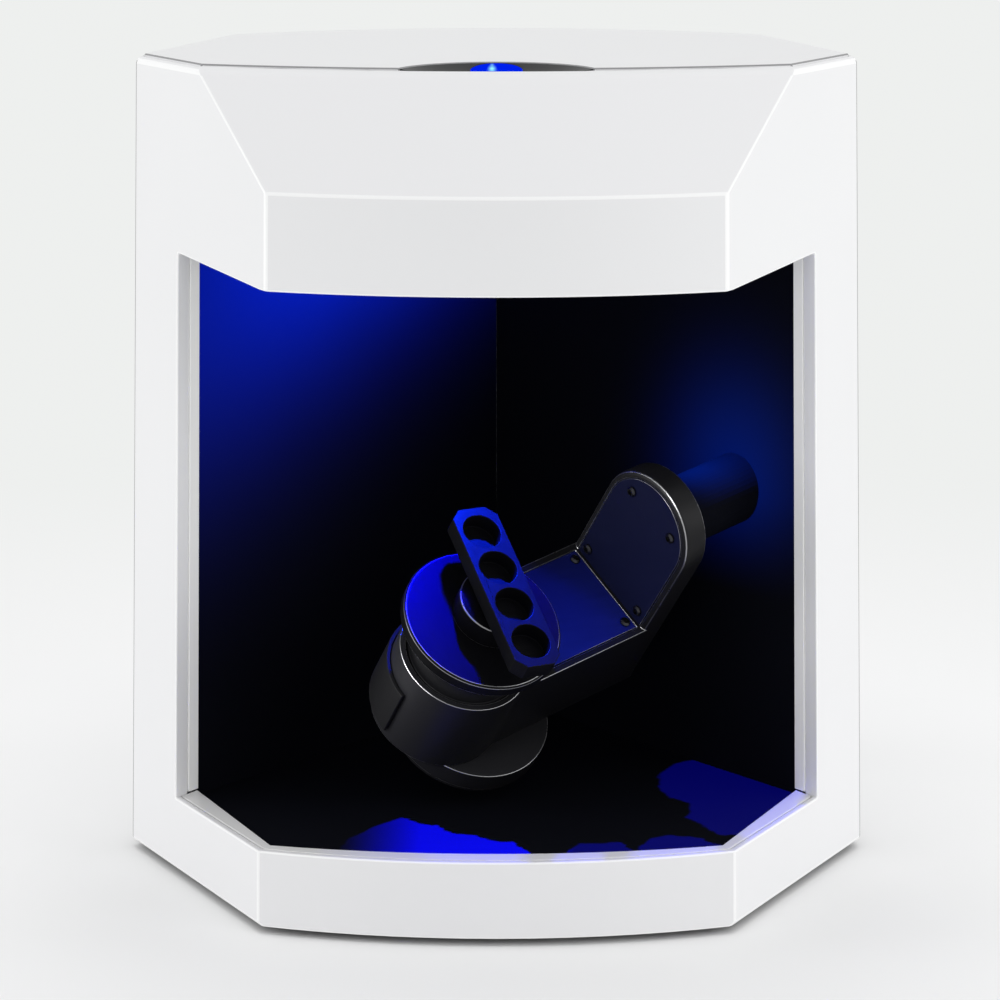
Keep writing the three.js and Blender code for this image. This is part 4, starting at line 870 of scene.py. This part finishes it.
# Spots of the scan light on the arm: name, place, target, angle, blur, power, colour and the pieces
# that the spot reaches
SCAN_HEAD = (0, -62, 256)
ARM_PIECES = ("arm_body", "arm_plate", "shelf_plate", "drive_housing", "drive_cap", "rear_guard",
              "turntable_bearing")
SCAN_SPOTS = [
    ("scan light", SCAN_HEAD, (-5, -90, 110), 46, 0.15, 18.0, PURE_BLUE, ("turntable_disc", "holder_puck")),
    ("bar light", SCAN_HEAD, (-5, -90, 110), 46, 0.15, 26.0, SCAN_BLUE, ("carrier_bar",)),
    ("arm light", SCAN_HEAD, (5, -85, 110), 56, 0.3, 2.5, SCAN_BLUE, (*ARM_PIECES, "holder_puck")),
]
SHELF_SPOT = ("shelf light", (38, -98, 125), (47, -62, 108), 100, 1.0, 0.9, SHELF_BLUE)

# Patterned lamps of the scan light: name, place, plane, pattern, strength, colour and the pieces
PROJECTORS = [
    ("floor light", (20, -70, 240), FLOOR_PLANE, floor_patches, 290.0, PURE_BLUE, ("chamber_floor",)),
    ("sill light", (20, -80, 240), SILL_PLANE, sill_patches, 2.0, PALE_BLUE, ("sill_tread", "front_shell")),
    ("left wall light", (-40, -80, 200), LEFT_WALL_PLANE, left_wall_glow, 1180.0, LEFT_GLOW,
     ("left_wall",)),
    ("right wall light", (40, -60, 200), RIGHT_WALL_PLANE, right_wall_glow, 48.0, RIGHT_GLOW,
     ("right_wall", "pivot_pod")),
]

# Studio lamps for single pieces, as above and with the pieces that each one reaches
PIECE_LAMPS = [
    ("arm lamp", (-0.35, -0.8, 0.42), (0.0, -0.05, 0.12), (0.3, 0.3), 7.0, ARM_PIECES),
    ("left arm lamp", (-0.1, -0.12, 0.13), (-0.02, -0.06, 0.09), (0.03, 0.08), 0.3,
     ("arm_body", "drive_housing")),
    ("reveal lamp", (0.0, -1.1, 0.2), (0.0, -0.1, 0.15), (0.8, 0.6), 2.2, ("bezel_left", "bezel_right")),
]

# Two spots in the opening that light the inner edges of the front shell
RIM_SPOTS = [
    ("rim lamp left", (0, -112, 150), (-100, -112, 150), 150, 0.6, 0.085, WHITE, ("front_shell",)),
    ("rim lamp right", (0, -112, 150), (100, -112, 150), 150, 0.6, 0.085, WHITE, ("front_shell",)),
]


def add_studio_lamps(floor):
    for lamp in STUDIO_LAMPS:
        add_area(*lamp)
    shine_only_on(add_area(*FLOOR_LAMP), [floor])


def add_piece_lamps(add_lamp, lamps, pieces, blockers=()):
    """Adds a table of lamps whose last column names the pieces that a lamp reaches."""
    for *values, reached in lamps:
        shine_only_on(add_lamp(*values), [pieces[name] for name in reached], blockers)


def add_lamps(floor, pieces):
    """All lamps. The arm's shadow is part of the patterns, so in a patterned lamp only the chamber's
    floor casts one, which is in no light's way."""
    add_studio_lamps(floor)
    add_piece_lamps(add_spot, SCAN_SPOTS, pieces)
    shelf = pieces["shelf_plate"]
    shine_only_on(add_spot(*SHELF_SPOT), [shelf], [shelf])
    add_piece_lamps(add_projector, PROJECTORS, pieces, [pieces["chamber_floor"]])
    add_piece_lamps(add_area, PIECE_LAMPS, pieces)
    add_piece_lamps(add_spot, RIM_SPOTS, pieces)


def build_scene():
    add_camera()
    paint_nodes()
    soft = soften_pieces()
    paint_well_reflection(soft["status_dish"])
    floor = add_floor()
    add_world()
    add_lamps(floor, {**frame["nodes"], **soft})
    bpy.context.scene.view_settings.view_transform = "Standard"


build_scene()
